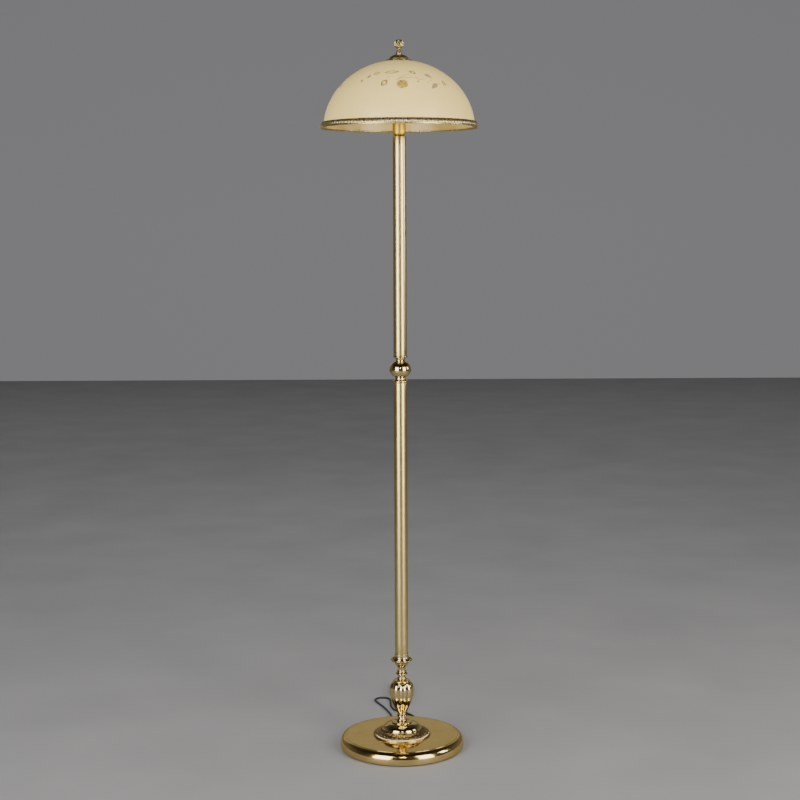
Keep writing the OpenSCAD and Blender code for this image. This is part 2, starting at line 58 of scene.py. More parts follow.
# Name, azimuth in degrees from the camera's side, distance, height, width, tall, watts and colour
SOFTBOXES = [("left_softbox", -37, 3.0, 1.45, 1.8, 2.7, 125, (1.0, 0.99, 0.96)),
             ("right_softbox", 45, 3.0, 1.45, 1.5, 2.7, 110, (1.0, 0.95, 0.86)),
             ("middle_softbox", 2, 3.0, 2.3, 0.5, 0.5, 10, (1.0, 0.98, 0.94)),
             ("side_softbox", 88, 3.0, 1.7, 0.8, 1.2, 22, (1.0, 0.98, 0.94)),
             ("rear_softbox", 188, 4.2, 1.9, 4.2, 1.6, 5, (1.0, 0.97, 0.92))]


def make_camera():
    data = bpy.data.cameras.new("camera")
    data.lens = LENS
    data.sensor_width = 36
    data.clip_end = 60
    camera = bpy.data.objects.new("camera", data)
    camera.matrix_world = (Matrix.Translation(EYE) @ Matrix.Rotation(pi / 2 - PITCH, 4, "X")
                           @ Matrix.Rotation(ROLL, 4, "Z"))
    bpy.context.scene.collection.objects.link(camera)
    bpy.context.scene.camera = camera


def make_floor():
    mesh = bpy.data.meshes.new("floor")
    corners = [(x * FLOOR_HALF, y * FLOOR_HALF, 0) for x, y in ((-1, -1), (1, -1), (1, 1), (-1, 1))]
    mesh.from_pydata(corners, [], [(0, 1, 2, 3)])
    floor = bpy.data.objects.new("floor", mesh)
    bpy.context.scene.collection.objects.link(floor)
    floor.data.materials.append(floor_material())


def area_light(name, place, width, tall, watts):
    data = bpy.data.lights.new(name, "AREA")
    data.shape = "RECTANGLE"
    data.size = width
    data.size_y = tall
    data.energy = watts
    light = bpy.data.objects.new(name, data)
    light.visible_camera = False
    light.location = place
    bpy.context.scene.collection.objects.link(light)
    return light


def make_softbox(name, azimuth, distance, height, width, tall, watts, colour):
    """A softbox on a circle round the lamp, facing AIM."""
    angle = radians(azimuth)
    place = Vector((distance * sin(angle), -distance * cos(angle), height))
    light = area_light(name, place, width, tall, watts)
    light.data.color = colour
    light.rotation_euler = (AIM - place).to_track_quat("-Z", "Y").to_euler()


def make_overhead():
    """Fills the floor evenly; the brass does not mirror it."""
    light = area_light("overhead", (0, 1.5, 6), 14, 14, 420)
    light.visible_glossy = False


def grey(value):
    return (value, value, value)


def make_world():
    """A dim studio, lighter beyond the lamp than behind the camera and darker overhead."""
    world = bpy.data.worlds.new("studio")
    bpy.context.scene.world = world
    world.use_nodes = True
    nodes = Nodes(world.node_tree)
    split = nodes.node("ShaderNodeSeparateXYZ")
    nodes.join(nodes.node("ShaderNodeTexCoord").outputs["Generated"], split.inputs[0])
    halved = nodes.node("ShaderNodeMath", operation="MULTIPLY_ADD")
    halved.inputs[1].default_value = 0.5
    halved.inputs[2].default_value = 0.5
    nodes.join(split.outputs["Y"], halved.inputs[0])
    depth = nodes.ramp(halved.outputs[0], [(0.0, grey(0.05)), (0.45, grey(0.06)),
                                           (0.75, (0.15, 0.15, 0.155)), (1.0, (0.20, 0.20, 0.205))])
    height = nodes.ramp(split.outputs["Z"], [(0.0, grey(1.0)), (0.25, grey(0.95)), (0.6, grey(0.35)),
                                             (1.0, grey(0.15))])
    both = nodes.node("ShaderNodeMix", data_type="RGBA", blend_type="MULTIPLY")
    both.inputs[0].default_value = 1.0
    nodes.join(depth, both.inputs[6])
    nodes.join(height, both.inputs[7])
    nodes.join(both.outputs[2], nodes.tree.nodes["Background"].inputs["Color"])


# ---------------------------------------------------------------- material helpers

class Nodes:
    """A node tree and the calls that fill it."""

    def __init__(self, tree):
        self.tree = tree

    def node(self, kind, **settings):
        made = self.tree.nodes.new(kind)
        for key, value in settings.items():
            setattr(made, key, value)
        return made

    def join(self, source, target):
        self.tree.links.new(source, target)

    def ramp(self, source, stops):
        made = self.node("ShaderNodeValToRGB")
        elements = made.color_ramp.elements
        while len(elements) < len(stops):
            elements.new(0.5)
        for element, (place, colour) in zip(elements, stops):
            element.position = place
            element.color = (*colour, 1)
        self.join(source, made.inputs[0])
        return made.outputs[0]


class Look(Nodes):
    """A Principled material and the few nodes that give it its detail."""

    def __init__(self, name, **sockets):
        self.material = bpy.data.materials.new(name)
        self.material.use_nodes = True
        super().__init__(self.material.node_tree)
        self.shader = self.tree.nodes["Principled BSDF"]
        for socket, value in sockets.items():
            self.shader.inputs[socket.replace("_", " ")].default_value = value
        self.place = self.node("ShaderNodeTexCoord").outputs["Object"]

    def stretched(self, scale):
        mapping = self.node("ShaderNodeMapping")
        mapping.inputs["Scale"].default_value = scale
        self.join(self.place, mapping.inputs["Vector"])
        return mapping.outputs[0]

    def noise(self, scale, detail=3, stretch=None):
        made = self.node("ShaderNodeTexNoise")
        made.inputs["Scale"].default_value = scale
        made.inputs["Detail"].default_value = detail
        self.join(self.stretched(stretch) if stretch else self.place, made.inputs["Vector"])
        return made.outputs["Fac"]

    def spread(self, source, low, high, start=0.3, end=0.7):
        made = self.node("ShaderNodeMapRange")
        for socket, value in zip(("From Min", "From Max", "To Min", "To Max"), (start, end, low, high)):
            made.inputs[socket].default_value = value
        self.join(source, made.inputs["Value"])
        return made.outputs[0]

    def mixed(self, factor, one, two):
        made = self.node("ShaderNodeMix", data_type="RGBA")
        if isinstance(factor, (int, float)):
            made.inputs[0].default_value = factor
        else:
            self.join(factor, made.inputs[0])
        for source, socket in ((one, made.inputs[6]), (two, made.inputs[7])):
            if isinstance(source, tuple):
                socket.default_value = (*source, 1)
            else:
                self.join(source, socket)
        return made.outputs[2]

    def maths(self, operation, one, two=None):
        made = self.node("ShaderNodeMath", operation=operation)
        for source, socket in ((one, made.inputs[0]), (two, made.inputs[1])):
            if source is None:
                continue
            if isinstance(source, (int, float)):
                socket.default_value = source
            else:
                self.join(source, socket)
        return made.outputs[0]

    def worn(self, low=0.48, high=0.56):
        geometry = self.node("ShaderNodeNewGeometry")
        return self.spread(geometry.outputs["Pointiness"], 0, 1, low, high)

    def hollow(self, distance):
        made = self.node("ShaderNodeAmbientOcclusion", samples=6)
        made.inputs["Distance"].default_value = distance
        return made.outputs["AO"]

    def bump(self, source, strength, distance=0.0005):
        made = self.node("ShaderNodeBump")
        made.inputs["Strength"].default_value = strength
        made.inputs["Distance"].default_value = distance
        self.join(source, made.inputs["Height"])
        self.join(made.outputs[0], self.shader.inputs["Normal"])

    def into(self, socket, source):
        self.join(source, self.shader.inputs[socket])

    def stained(self, scale, detail, one, two, start=0.35, end=0.7):
        """Lets the base colour drift from one tone to the other."""
        self.into("Base Color", self.ramp(self.noise(scale, detail), [(start, one), (end, two)]))

    def roughened(self, scale, low, high, detail=4):
        self.into("Roughness", self.spread(self.noise(scale, detail), low, high))


def floor_material():
    look = Look("studio_floor", Roughness=0.6)
    look.stained(3.0, 4, (0.23, 0.23, 0.235), (0.26, 0.26, 0.265), 0.3, 0.7)
    look.bump(look.noise(240, 2), 0.05)
    return look.material


def polished_brass(name, light, dark, rough=0.10, grain=0.05):
    """Lacquered brass: turning marks, faint stains, painted shade darkening its seams and grooves, and a
    thin clear coat.
    """
    look = Look(name, Metallic=1.0, Coat_Weight=0.06, Coat_Roughness=0.06,
                Specular_Tint=(1.0, 0.87, 0.60, 1))
    stains = look.ramp(look.noise(26, 5), [(0.35, light), (0.75, dark)])
    handled = look.mixed(look.spread(look.noise(160, 4), 0, 0.25), stains, tuple(0.72 * c for c in dark))
    # Painted shade: an ambient-occlusion mask darkens the base colour in seams and grooves, where shade
    # falls.
    painted_seam_shade = look.spread(look.hollow(0.005), 1, 0, 0.25, 0.75)
    look.into("Base Color", look.mixed(painted_seam_shade, handled, tuple(0.30 * c for c in dark)))
    look.roughened(70, rough, rough + 0.02, 2)
    look.bump(look.noise(900, 2, stretch=(0.05, 0.05, 1.0)), grain, 0.00015)
    return look.material


def antique_brass(name, bright, dark, distance=0.004, rough=0.20, open_from=0.95):
    """Cast brass, dark in the hollows of its relief and rubbed bright on the ridges."""
    look = Look(name, Metallic=1.0, Specular_Tint=(1.0, 0.84, 0.56, 1))
    hollows = look.spread(look.hollow(distance), 0, 1, 0.35, open_from)
    rubbed = look.worn(0.49, 0.58)
    patina = look.ramp(look.noise(150, 5), [(0.35, dark), (0.75, tuple(1.5 * c for c in dark))])
    tone = look.mixed(hollows, patina, bright)
    ridges = tuple(min(1, 1.25 * c) for c in bright)
    look.into("Base Color", look.mixed(look.maths("MULTIPLY", rubbed, 0.6), tone, ridges))
    uneven = look.maths("ADD", hollows, look.noise(220, 3))
    look.into("Roughness", look.spread(uneven, rough + 0.26, rough, 0.4, 1.6))
    look.bump(look.noise(700, 3), 0.12, 0.0003)
    return look.material


def plated_steel():
    look = Look("zinc_plated_steel", Metallic=1.0)
    look.stained(90, 5, (0.60, 0.60, 0.59), (0.44, 0.44, 0.43))
    look.roughened(200, 0.28, 0.48)
    look.bump(look.noise(1200, 2, stretch=(1, 1, 0.1)), 0.10, 0.0002)
    return look.material


def cast_iron():
    look = Look("cast_iron", Metallic=0.6)
    look.stained(60, 6, (0.045, 0.043, 0.042), (0.11, 0.085, 0.07))
    look.roughened(300, 0.55, 0.85)
    look.bump(look.noise(420, 6), 0.6, 0.0008)
    return look.material


def felt():
    look = Look("felt", Roughness=0.95, Sheen_Weight=0.5, Sheen_Roughness=0.5)
    look.stained(900, 5, (0.010, 0.012, 0.010), (0.035, 0.040, 0.034), 0.3, 0.75)
    look.bump(look.noise(1800, 4), 0.7, 0.0006)
    return look.material


def opal_glass():
    """Cream opal glass: milky depth, a soft bloom of warmer patches and a satin skin."""
    look = Look("opal_glass", Roughness=0.32, Subsurface_Weight=0.25, Subsurface_Scale=0.006,
                Subsurface_Radius=(1.0, 0.75, 0.45), Coat_Weight=0.12, Coat_Roughness=0.18, IOR=1.45)
    cloud = look.noise(5.5, 3)
    fine = look.noise(55, 4)
    milk = look.ramp(cloud, [(0.3, (0.86, 0.65, 0.225)), (0.7, (0.90, 0.69, 0.225))])
    look.into("Base Color", look.mixed(look.spread(fine, 0, 0.12), milk, (0.93, 0.78, 0.38)))
    look.bump(look.noise(34, 2), 0.03, 0.002)
    return look.material


def frosted_glass():
    look = Look("frosted_bulb", Roughness=0.38, Subsurface_Weight=0.3, Subsurface_Scale=0.004,
                Coat_Weight=0.6, Coat_Roughness=0.08)
    look.stained(40, 3, (0.80, 0.79, 0.75), (0.86, 0.85, 0.82), 0.3, 0.7)
    look.bump(look.noise(600, 2), 0.04, 0.0003)
    return look.material


def gilding(name, bright, ground, metal=0.85):
    """A fired print, slightly rubbed through to its darker ground."""
    look = Look(name, Metallic=metal)
    wear = look.spread(look.noise(300, 4), 0, 1, 0.42, 0.62)
    look.into("Base Color", look.mixed(wear, bright, ground))
    look.roughened(420, 0.25, 0.45, 3)
    look.bump(look.noise(900, 3), 0.2, 0.0002)
    return look.material


def moulded(name, low, high, rough, grain=0.25, scale=1400):
    """Moulded plastic or rubber with a fine eroded grain and soft scuffs."""
    look = Look(name)
    look.stained(120, 4, low, high)
    look.roughened(90, rough - 0.06, rough + 0.10)
    look.bump(look.noise(scale, 2), grain, 0.0002)
    return look.material


def nickel():
    look = Look("nickel_plate", Metallic=1.0)
    look.stained(120, 4, (0.66, 0.64, 0.60), (0.52, 0.50, 0.46))
    look.roughened(250, 0.16, 0.32)
    look.bump(look.noise(1500, 2), 0.08, 0.0002)
    return look.material


LOOKS = {
    "brass": polished_brass("polished_brass", (0.73, 0.595, 0.30), (0.63, 0.495, 0.225)),
    "tube_brass": polished_brass("tube_brass", (0.66, 0.525, 0.235), (0.61, 0.48, 0.205), 0.28, 0.002),
    "base_brass": polished_brass("base_brass", (0.80, 0.60, 0.245), (0.70, 0.51, 0.18), 0.12, 0.02),
    # Painted reflection: this saturated yellow stands in for the cream glass that the top cup mirrors inside
    # the shade.
    "cup_brass_painted_reflection": polished_brass("brass_painted_glass_reflection", (0.91, 0.65, 0.10), (0.82, 0.56, 0.07), 0.42),
    # Painted light: the rim's lip gets a lighter, yellower copy of the brass so that it looks lit.
    "lip_brass": polished_brass("rim_lip_brass_painted_light", (0.96, 0.80, 0.36), (0.90, 0.72, 0.28), 0.26, 0.02),
    "satin_brass": polished_brass("satin_brass", (0.50, 0.40, 0.20), (0.37, 0.285, 0.13), 0.42, 0.3),
    "antique": antique_brass("antique_brass", (0.72, 0.56, 0.31), (0.060, 0.040, 0.022)),
    "gilt_band": antique_brass("gilt_band_brass", (0.88, 0.70, 0.40), (0.050, 0.032, 0.014), 0.0018, 0.26,
                               0.92),
    "steel": plated_steel(),
    "iron": cast_iron(),
    "felt": felt(),
    "opal": opal_glass(),
    "bulb": frosted_glass(),
    "print": gilding("gold_print", (0.78, 0.55, 0.12), (0.52, 0.36, 0.08), 0.30),
    "line": gilding("gold_line_print", (0.22, 0.145, 0.03), (0.14, 0.09, 0.025), 0.3),
    "tint": gilding("tinted_print", (0.42, 0.31, 0.18), (0.32, 0.235, 0.14), 0.1),
    "phenolic": moulded("phenolic", (0.018, 0.016, 0.015), (0.030, 0.027, 0.025), 0.30, 0.10),
    "rubber": moulded("black_rubber", (0.012, 0.012, 0.012), (0.026, 0.026, 0.026), 0.62, 0.35),
    "jacket": moulded("cord_jacket", (0.010, 0.010, 0.011), (0.020, 0.020, 0.022), 0.42, 0.15),
    "plastic": moulded("switch_plastic", (0.014, 0.014, 0.015), (0.024, 0.024, 0.026), 0.40, 0.40, 2200),
    "gloss": moulded("rocker_plastic", (0.016, 0.016, 0.018), (0.024, 0.024, 0.027), 0.16, 0.04),
    "lead": moulded("lead_insulation", (0.20, 0.09, 0.04), (0.28, 0.13, 0.06), 0.40, 0.10),
    "tie": moulded("tie_strip", (0.03, 0.03, 0.031), (0.05, 0.05, 0.052), 0.55, 0.35),
    "nickel": nickel(),
}


# ---------------------------------------------------------------- mesh helpers

def arc(centre, a, b, start, end, count=16):
    """Points of an ellipse's arc, in degrees, in the (radius, height) plane."""
    angles = [radians(start + (end - start) * i / count) for i in range(count + 1)]
    return [(centre[0] + a * cos(t), centre[1] + b * sin(t)) for t in angles]


def curve(p, q, r, s, count=14):
    """A cubic curve from p to s that leaves towards q and arrives from r."""
    points = []
    for i in range(count + 1):
        t = i / count
        u = 1 - t
        points.append(tuple(u ** 3 * p[k] + 3 * u * u * t * q[k] + 3 * u * t * t * r[k] + t ** 3 * s[k]
                            for k in range(len(p))))
    return points


def bead(r, z, h, out, count=12):
    """A turned bead from height z to z + h that stands out from radius r."""
    return [(r + out * sin(pi * i / count), z + h * i / count) for i in range(count + 1)]


def dense(outline, step):
    """The open line with points added so that no span is longer than step."""
    result = []
    for here, following in zip(outline, outline[1:]):
        parts = max(1, ceil(hypot(following[0] - here[0], following[1] - here[1]) / step))
        for k in range(parts):
            t = k / parts
            result.append((here[0] + (following[0] - here[0]) * t, here[1] + (following[1] - here[1]) * t))
    return result + [outline[-1]]


def eased(outline, size=0.35, limit=28):
    """The closed outline with each corner sharper than limit degrees cut to a small round."""
    points = [p for i, p in enumerate(outline)
              if hypot(p[0] - outline[i - 1][0], p[1] - outline[i - 1][1]) > 1e-4]
    result = []
    for i, here in enumerate(points):
        before = Vector(points[i - 1]) - Vector(here)
        after = Vector(points[(i + 1) % len(points)]) - Vector(here)
        if degrees(pi - before.angle(after, 0)) < limit or here[0] < 0.01:
            result.append(here)
            continue
        cut = min(size, 0.42 * before.length, 0.42 * after.length)
        a = Vector(here) + before.normalized() * cut
        b = Vector(here) + after.normalized() * cut
        for t in (0, 0.33, 0.67, 1):
            point = (1 - t) ** 2 * a + 2 * t * (1 - t) * Vector(here) + t * t * b
            result.append((point.x, point.y))
    return result


def outward(outline):
    """A unit normal for each point of a closed outline, away from the metal."""
    count = len(outline)
    area = sum(outline[i - 1][0] * outline[i][1] - outline[i][0] * outline[i - 1][1] for i in range(count))
    side = 1 if area > 0 else -1
    normals = []
    for i in range(count):
        before = outline[i - 1]
        after = outline[(i + 1) % count]
        long = hypot(after[0] - before[0], after[1] - before[1]) or 1
        normals.append((side * (after[1] - before[1]) / long, -side * (after[0] - before[0]) / long))
    return normals


def finished(name, mesh, look, body=LAMP, sharp=38):
    mesh.polygons.foreach_set("use_smooth", [True] * len(mesh.polygons))
    if sharp:
        mesh.set_sharp_from_angle(angle=radians(sharp))
    piece = bpy.data.objects.new(name, mesh)
    bpy.context.scene.collection.objects.link(piece)
    mesh.materials.append(LOOKS[look])
    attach(piece, body)
    return piece


def from_bmesh(name, grid, look, body=LAMP, sharp=38, place=None):
    bmesh.ops.remove_doubles(grid, verts=grid.verts, dist=1e-7)
    bmesh.ops.dissolve_degenerate(grid, edges=grid.edges, dist=1e-8)
    bmesh.ops.recalc_face_normals(grid, faces=grid.faces)
    mesh = bpy.data.meshes.new(name)
    grid.to_mesh(mesh)
    grid.free()
    if place:
        mesh.transform(place)
    return finished(name, mesh, look, body, sharp)


def turned(name, outline, look, slot, turns=144, relief=None, skin=(), body=LAMP, sharp=38, ease=0.35,
           place=None):
    """A closed (radius, height) outline in mm turned about Z.

    relief(r, z, angle) is a height in mm by which the points of the outline that are also in skin stand out.
    """
    outline = eased(outline, ease) if ease else outline
    normals = outward(outline)
    shaped = set(skin)
    grid = bmesh.new()
    rings = []
    for i in range(turns):
        angle = tau * i / turns
        ring = []
        for (r, z), (nr, nz) in zip(outline, normals):
            if (r, z) in shaped:
                height = relief(r, z, angle)
                r, z = r + height * nr, z + height * nz
            ring.append(grid.verts.new((MM * r * sin(angle), -MM * r * cos(angle), MM * z)))
        rings.append(ring)
    count = len(outline)
    for i in range(turns):
        one, two = rings[i], rings[(i + 1) % turns]
        for k in range(count):
            following = (k + 1) % count
            grid.faces.new((one[k], two[k], two[following], one[following]))
    return from_bmesh(name, grid, look, body, sharp, place)


def standing_in(piece, *nodes):
    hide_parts(*nodes)
    return piece


def turning(node, name, outline, look="brass", turns=144, **more):
    """A plain turned brass piece in the place of a CAD node."""
    return standing_in(turned(name, outline, look, BRASS_SLOT, turns, **more), node)


def bottom(node):
    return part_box(node)[0].z / MM


def top(node):
    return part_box(node)[1].z / MM


def radius_of(node):
    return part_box(node)[1].x / MM


def swing(angle, count, phase=0):
    """Where an angle stands in its share of a pattern of count equal parts: -1 to 1, 0 in its middle."""
    return ((angle - phase) * count / tau + 0.5) % 1 * 2 - 1


def fade(value, start, end):
    """0 before start, 1 after end and smooth between them; start may be the larger."""
    t = min(1, max(0, (value - start) / (end - start)))
    return t * t * (3 - 2 * t)


# ---------------------------------------------------------------- the cord

CORD_D = 0.005
GLAND_ANGLE = radians(80)
GLAND_Z = 0.011
BASE_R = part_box("base_cover")[1].x
GLAND_LINE = Vector((cos(GLAND_ANGLE), sin(GLAND_ANGLE), 0))
WALL = GLAND_LINE * BASE_R + Vector((0, 0, GLAND_Z))
TIP = GLAND_LINE * (BASE_R + 0.032) + Vector((0, 0, GLAND_Z))
PLUG_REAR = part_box("plug_body")[1].y
PLUG_Z = (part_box("plug_body")[0].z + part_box("plug_body")[1].z) / 2

# The route from the base's wall through the gland to the switch; the cord lies on the floor at 2.5 mm
LEAD = [
    tuple(WALL), tuple(TIP), (0.034, 0.194, 0.010), (0.035, 0.206, 0.0065),
    (0.033, 0.218, 0.003), (0.018, 0.244, 0.0025), (-0.007, 0.266, 0.0025), (-0.018, 0.278, 0.0025),
    (-0.025, 0.295, 0.0025), (-0.029, 0.318, 0.0025), (-0.031, 0.363, 0.0025), (-0.036, 0.378, 0.0025),
    (-0.049, 0.386, 0.0025), (-0.063, 0.382, 0.0025), (-0.071, 0.369, 0.0025), (-0.068, 0.351, 0.0025),
    (-0.048, 0.303, 0.0025), (-0.031, 0.248, 0.0025), (-0.024, 0.205, 0.0025), (-0.016, 0.190, 0.0025),
    (-0.003, 0.184, 0.0025), (0.010, 0.189, 0.0025), (0.016, 0.202, 0.0025), (0.014, 0.218, 0.003),
    (0.009, 0.233, 0.0055), (0.004, 0.248, 0.008), (0, 0.264, 0.0088), (0, 0.284, 0.008), (0, 0.314, 0.008)
]
# Inside the switch, where the CAD has no cord, it dips clear of the rocker's key
SWITCH_DIP = [(0, 0.336, 0.0055)]
# From the switch to the hank
LINK = [(0, 0.358, 0.008), (0, 0.368, 0.008), (0.005, 0.381, 0.0068), (0.013, 0.391, 0.005),
        (0.019, 0.402, 0.0038)]
# From the top of the hank to the plug, which lies on it
TAIL = [(-0.015, 0.478, 0.014), (-0.0125, 0.470, 0.0152), (-0.008, 0.461, 0.018), (-0.0025, 0.452, 0.0216),
        (0, PLUG_REAR + 0.005, PLUG_Z), (0, PLUG_REAR, PLUG_Z)]

HANK_NEAR = 0.416
HANK_FAR = 0.481
HANK_LIFT = 0.001
HANDLE_SHARE = 0.38       # of the distance to the next point
# The radius and the layer of each turn of the hank, from the first laid to the last
HANK_TURNS = [(0.020, 0), (0.015, 0), (0.015, 1), (0.020, 1), (0.020, 2), (0.015, 2)]


def hank_line():
    """Flat turns in three layers. Each turn moves to the next one's place on its way back to the near end,
    the last turns first, so that no two of them meet."""
    run = HANK_FAR - HANK_NEAR
    shifts = len(HANK_TURNS) - 1
    turn_back = run / (run + pi * 0.0175)
    points = []
    for turn, (radius, layer) in enumerate(HANK_TURNS):
        height = HANK_LIFT + CORD_D / 2 + layer * CORD_D
        for t in (0, 0.35, 0.7):
            points.append((radius, HANK_NEAR + run * t, height))
        for angle in range(0, 181, 30):
            points.append((radius * cos(radians(angle)), HANK_FAR + radius * sin(radians(angle)), height))
        if turn == shifts:
            points.pop()
            break
        next_radius, next_layer = HANK_TURNS[turn + 1]
        start = (shifts - 1 - turn) / shifts
        for step in range(1, 12):
            share = step / 12
            moved = fade(share, start, start + 1 / shifts)
            r = radius + (next_radius - radius) * moved
            z = height + (next_layer - layer) * CORD_D * moved
            if share < turn_back:
                points.append((-r, HANK_FAR - run * share / turn_back, z))
            else:
                angle = pi + pi * (share - turn_back) / (1 - turn_back)
                points.append((r * cos(angle), HANK_NEAR + r * sin(angle), z))
    return points


def set_handles(spline):
    """Aim each point's handles along the line between its neighbours, straight out of the gland, nearly
    straight into the plug and level where the cord lies on the floor."""
    points = spline.bezier_points
    last = len(points) - 1
    lowest = CORD_D / 2
    for i, point in enumerate(points):
        before = points[max(0, i - 1)].co
        after = points[min(last, i + 1)].co
        along = after - before
        if i == 1:
            along = point.co - before
        if i == last - 1:
            along = along + after - point.co
        along.normalize()
        left = point.co - along * HANDLE_SHARE * (point.co - before).length
        right = point.co + along * HANDLE_SHARE * (after - point.co).length
        for handle in (left, right):
            handle.z = lowest if point.co.z < lowest + 1e-5 else max(handle.z, lowest)
        point.handle_left = left
        point.handle_right = right


def mains_cord():
    data = bpy.data.curves.new("mains_cord", "CURVE")
    data.dimensions = "3D"
    data.bevel_depth = CORD_D / 2
    data.bevel_resolution = 5
    data.resolution_u = 8
    data.use_fill_caps = True
    route = LEAD + SWITCH_DIP + LINK + hank_line() + TAIL
    spline = data.splines.new("BEZIER")
    spline.bezier_points.add(len(route) - 1)
    for point, place in zip(spline.bezier_points, route):
        point.co = place
        point.handle_left_type = "FREE"
        point.handle_right_type = "FREE"
    set_handles(spline)
    cord = bpy.data.objects.new("mains_cord", data)
    bpy.context.scene.collection.objects.link(cord)
    data.materials.append(LOOKS["jacket"])
    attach(cord, LAMP)
    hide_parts("cord_lead", "cord_link", "cord_hank", "cord_tail")
    return cord


# ---------------------------------------------------------------- base and foot of the column

HOLE = 5.2          # plain hole on the lamp's threaded tube
BRASS_SLOT = "polished_brass"


def base_cover():
    edge = radius_of("base_cover")
    foot = bottom("base_cover")
    roof = top("base_cover")
    round_r = 14
    wide = 14
    wall = 1.2
    step = 0.8
    flat = edge - round_r
    side = curve((edge - 2.6, foot), (edge - 1, foot + 2.6), (edge, foot + 7), (edge, wide), 18)
    shoulder = arc((flat, wide), round_r, roof - step - wide, 4, 90, 36)
    lip = curve((flat - 0.8, roof - step), (flat - 1, roof - 0.2), (flat - 1.4, roof), (flat - 2.2, roof), 6)
    under = arc((flat, wide), round_r - wall, roof - wide - wall, 90, 8, 24)
    inside = curve((edge - wall, wide), (edge - wall, foot + 7), (edge - 2.3, foot + 2.8),
                   (edge - 4, foot), 12)
    outline = side + shoulder + lip + [(HOLE, roof), (HOLE, roof - wall)] + under + inside
    turning("base_cover", "base_cover_shell", outline, "base_brass", 288, ease=0.3)


def beads_and_leaves(r, z, angle):
    """Relief of the rosette: a ring of round beads outside, then two rows of veined leaves."""
    beads = 72
    across = swing(angle, beads) * pi * r / beads
    bead_shape = 1 - ((r - 65.6) / 2.5) ** 2 - (across / 2.6) ** 2
    if bead_shape > 0:
        return 1.5 * sqrt(bead_shape)
    first = leaf_height((61.8 - r) / 13.0, swing(angle, 32))
    second = 0.55 * leaf_height((63.0 - r) / 12.0, swing(angle, 32, tau / 64))
    return max(first, second) * 1.5


def leaf_height(along, across):
    """Height of a leaf, from 0 to 1, whose tip is at along 0 and whose root is at along 1."""
    if not 0 < along < 1:
        return 0
    half = 0.96 * sqrt(sin(pi * min(0.5, 0.55 * along + 0.02)))
    side = abs(across) / half
    if side >= 1:
        return 0
    body = (1 - side ** 2.4) * (0.55 + 0.45 * fade(along, 0, 0.35)) * fade(along, 1.0, 0.9)
    midrib = 0.38 * max(0, 1 - side / 0.22)
    veins = 0.10 * cos(26 * along + 9 * side) * fade(side, 0.15, 0.3)
    return max(0, body - midrib + veins * body)


def base_rosette():
    r = radius_of("base_rosette")
    z = bottom("base_rosette")
    rim = [(r, z)] + arc((r - 1.3, z + 1.2), 1.3, 1.3, 0, 100, 8) + [(r - 2.2, z + 1.9)]
    slope = dense(curve((r - 2.4, z + 2.2), (r - 5, z + 6), (r - 14, z + 10), (r - 23, z + 13), 30), 0.45)
    inner = [(HOLE, z + 13.5), (HOLE, z + 11.4)] + curve((r - 24, z + 11), (r - 16, z + 8), (r - 8, z + 4.5),
                                                         (r - 4, z), 12)
    piece = turned("rosette_casting", rim + slope + inner, "antique", "antique_brass", 720, beads_and_leaves,
                   slope[1:-1], sharp=None)
    standing_in(piece, "base_rosette")


def rosette_dome():
    z = bottom("rosette_dome")
    foot = arc((47.6, z + 1.2), 1.3, 1.2, -90, 90, 10)
    shell = arc((22, z + 2), 24.6, 14, 4, 90, 30)
    inner = [(HOLE, z + 16), (HOLE, z + 14.4)] + arc((22, z + 1.5), 23.7, 12.9, 90, 0, 20) + [(45.7, z)]
    turning("rosette_dome", "rosette_dome_shell", foot + shell + inner, turns=192)


def tier_collar():
    z = bottom("tier_collar")
    outline = ([(HOLE, z), (23.6, z)] + arc((23.4, z + 1.4), 1.3, 1.4, -90, 90, 12)
               + curve((22, z + 2.9), (19, z + 3.2), (15, z + 3.6), (13.5, z + 4.5)) + [(HOLE, z + 4.5)])
    turning("tier_collar", "tier_collar_ring", outline)


def lower_neck():
    z = bottom("lower_neck")
    outline = ([(HOLE, z), (11, z)] + bead(11, z, 4.5, 1.8)
               + curve((10.4, z + 4.7), (9, z + 6), (8.8, z + 8), (9.4, z + 10)) + bead(10, z + 10.5, 5, 2.2)
               + [(9.6, z + 16), (9.8, z + 18), (HOLE, z + 18)])
    turning("lower_neck", "lower_neck_turning", outline)


LOBES = 8
LOBE_PHASE = radians(8)


def vase_lobe(low, high):
    """How far the vase lies inside its widest outline: round lobes side by side, plain at both ends."""
    def depth(r, z, angle):
        strength = 0.56 * fade(z, low + 1, low + 9) * fade(z, high, high - 3)
        lobe = 1 - strength
        off = swing(angle, LOBES, LOBE_PHASE) * pi / LOBES
        polar = strength * cos(off) + sqrt(lobe ** 2 - (strength * sin(off)) ** 2)
        return r * (polar - 1)
    return depth


def fluted_vase():
    r = radius_of("fluted_vase")
    low = bottom("fluted_vase")
    high = top("fluted_vase")
    wide = low + 59
    skin = dense(curve((10.4, low), (15.5, low + 14), (r - 0.6, low + 33), (r, wide), 24)
                 + curve((r, wide), (r, wide + 12), (r - 4, wide + 19), (20.5, high), 18)[1:], 1.4)
    inner = (curve((HOLE, high - 3), (r - 7, wide + 16), (r - 3, wide + 10), (r - 5, wide), 10)
             + curve((r - 5, wide), (r - 5, low + 32), (8, low + 20), (HOLE, low + 6), 14)[1:])
    outline = [(HOLE, low)] + skin + [(HOLE, high)] + inner
    piece = turned("vase_lobes", outline, "brass", BRASS_SLOT, 320, vase_lobe(low, high), skin[1:-1],
                   sharp=30)
    standing_in(piece, "fluted_vase")


def vase_shoulder():
    z = bottom("vase_shoulder")
    outline = ([(HOLE, z), (19.6, z)] + arc((19, z + 2.4), 2, 2.4, -60, 90, 12)
               + curve((18, z + 5), (14, z + 5.4), (11, z + 6), (9.6, z + 7)) + [(HOLE, z + 7)])
    turning("vase_shoulder", "vase_shoulder_ring", outline)


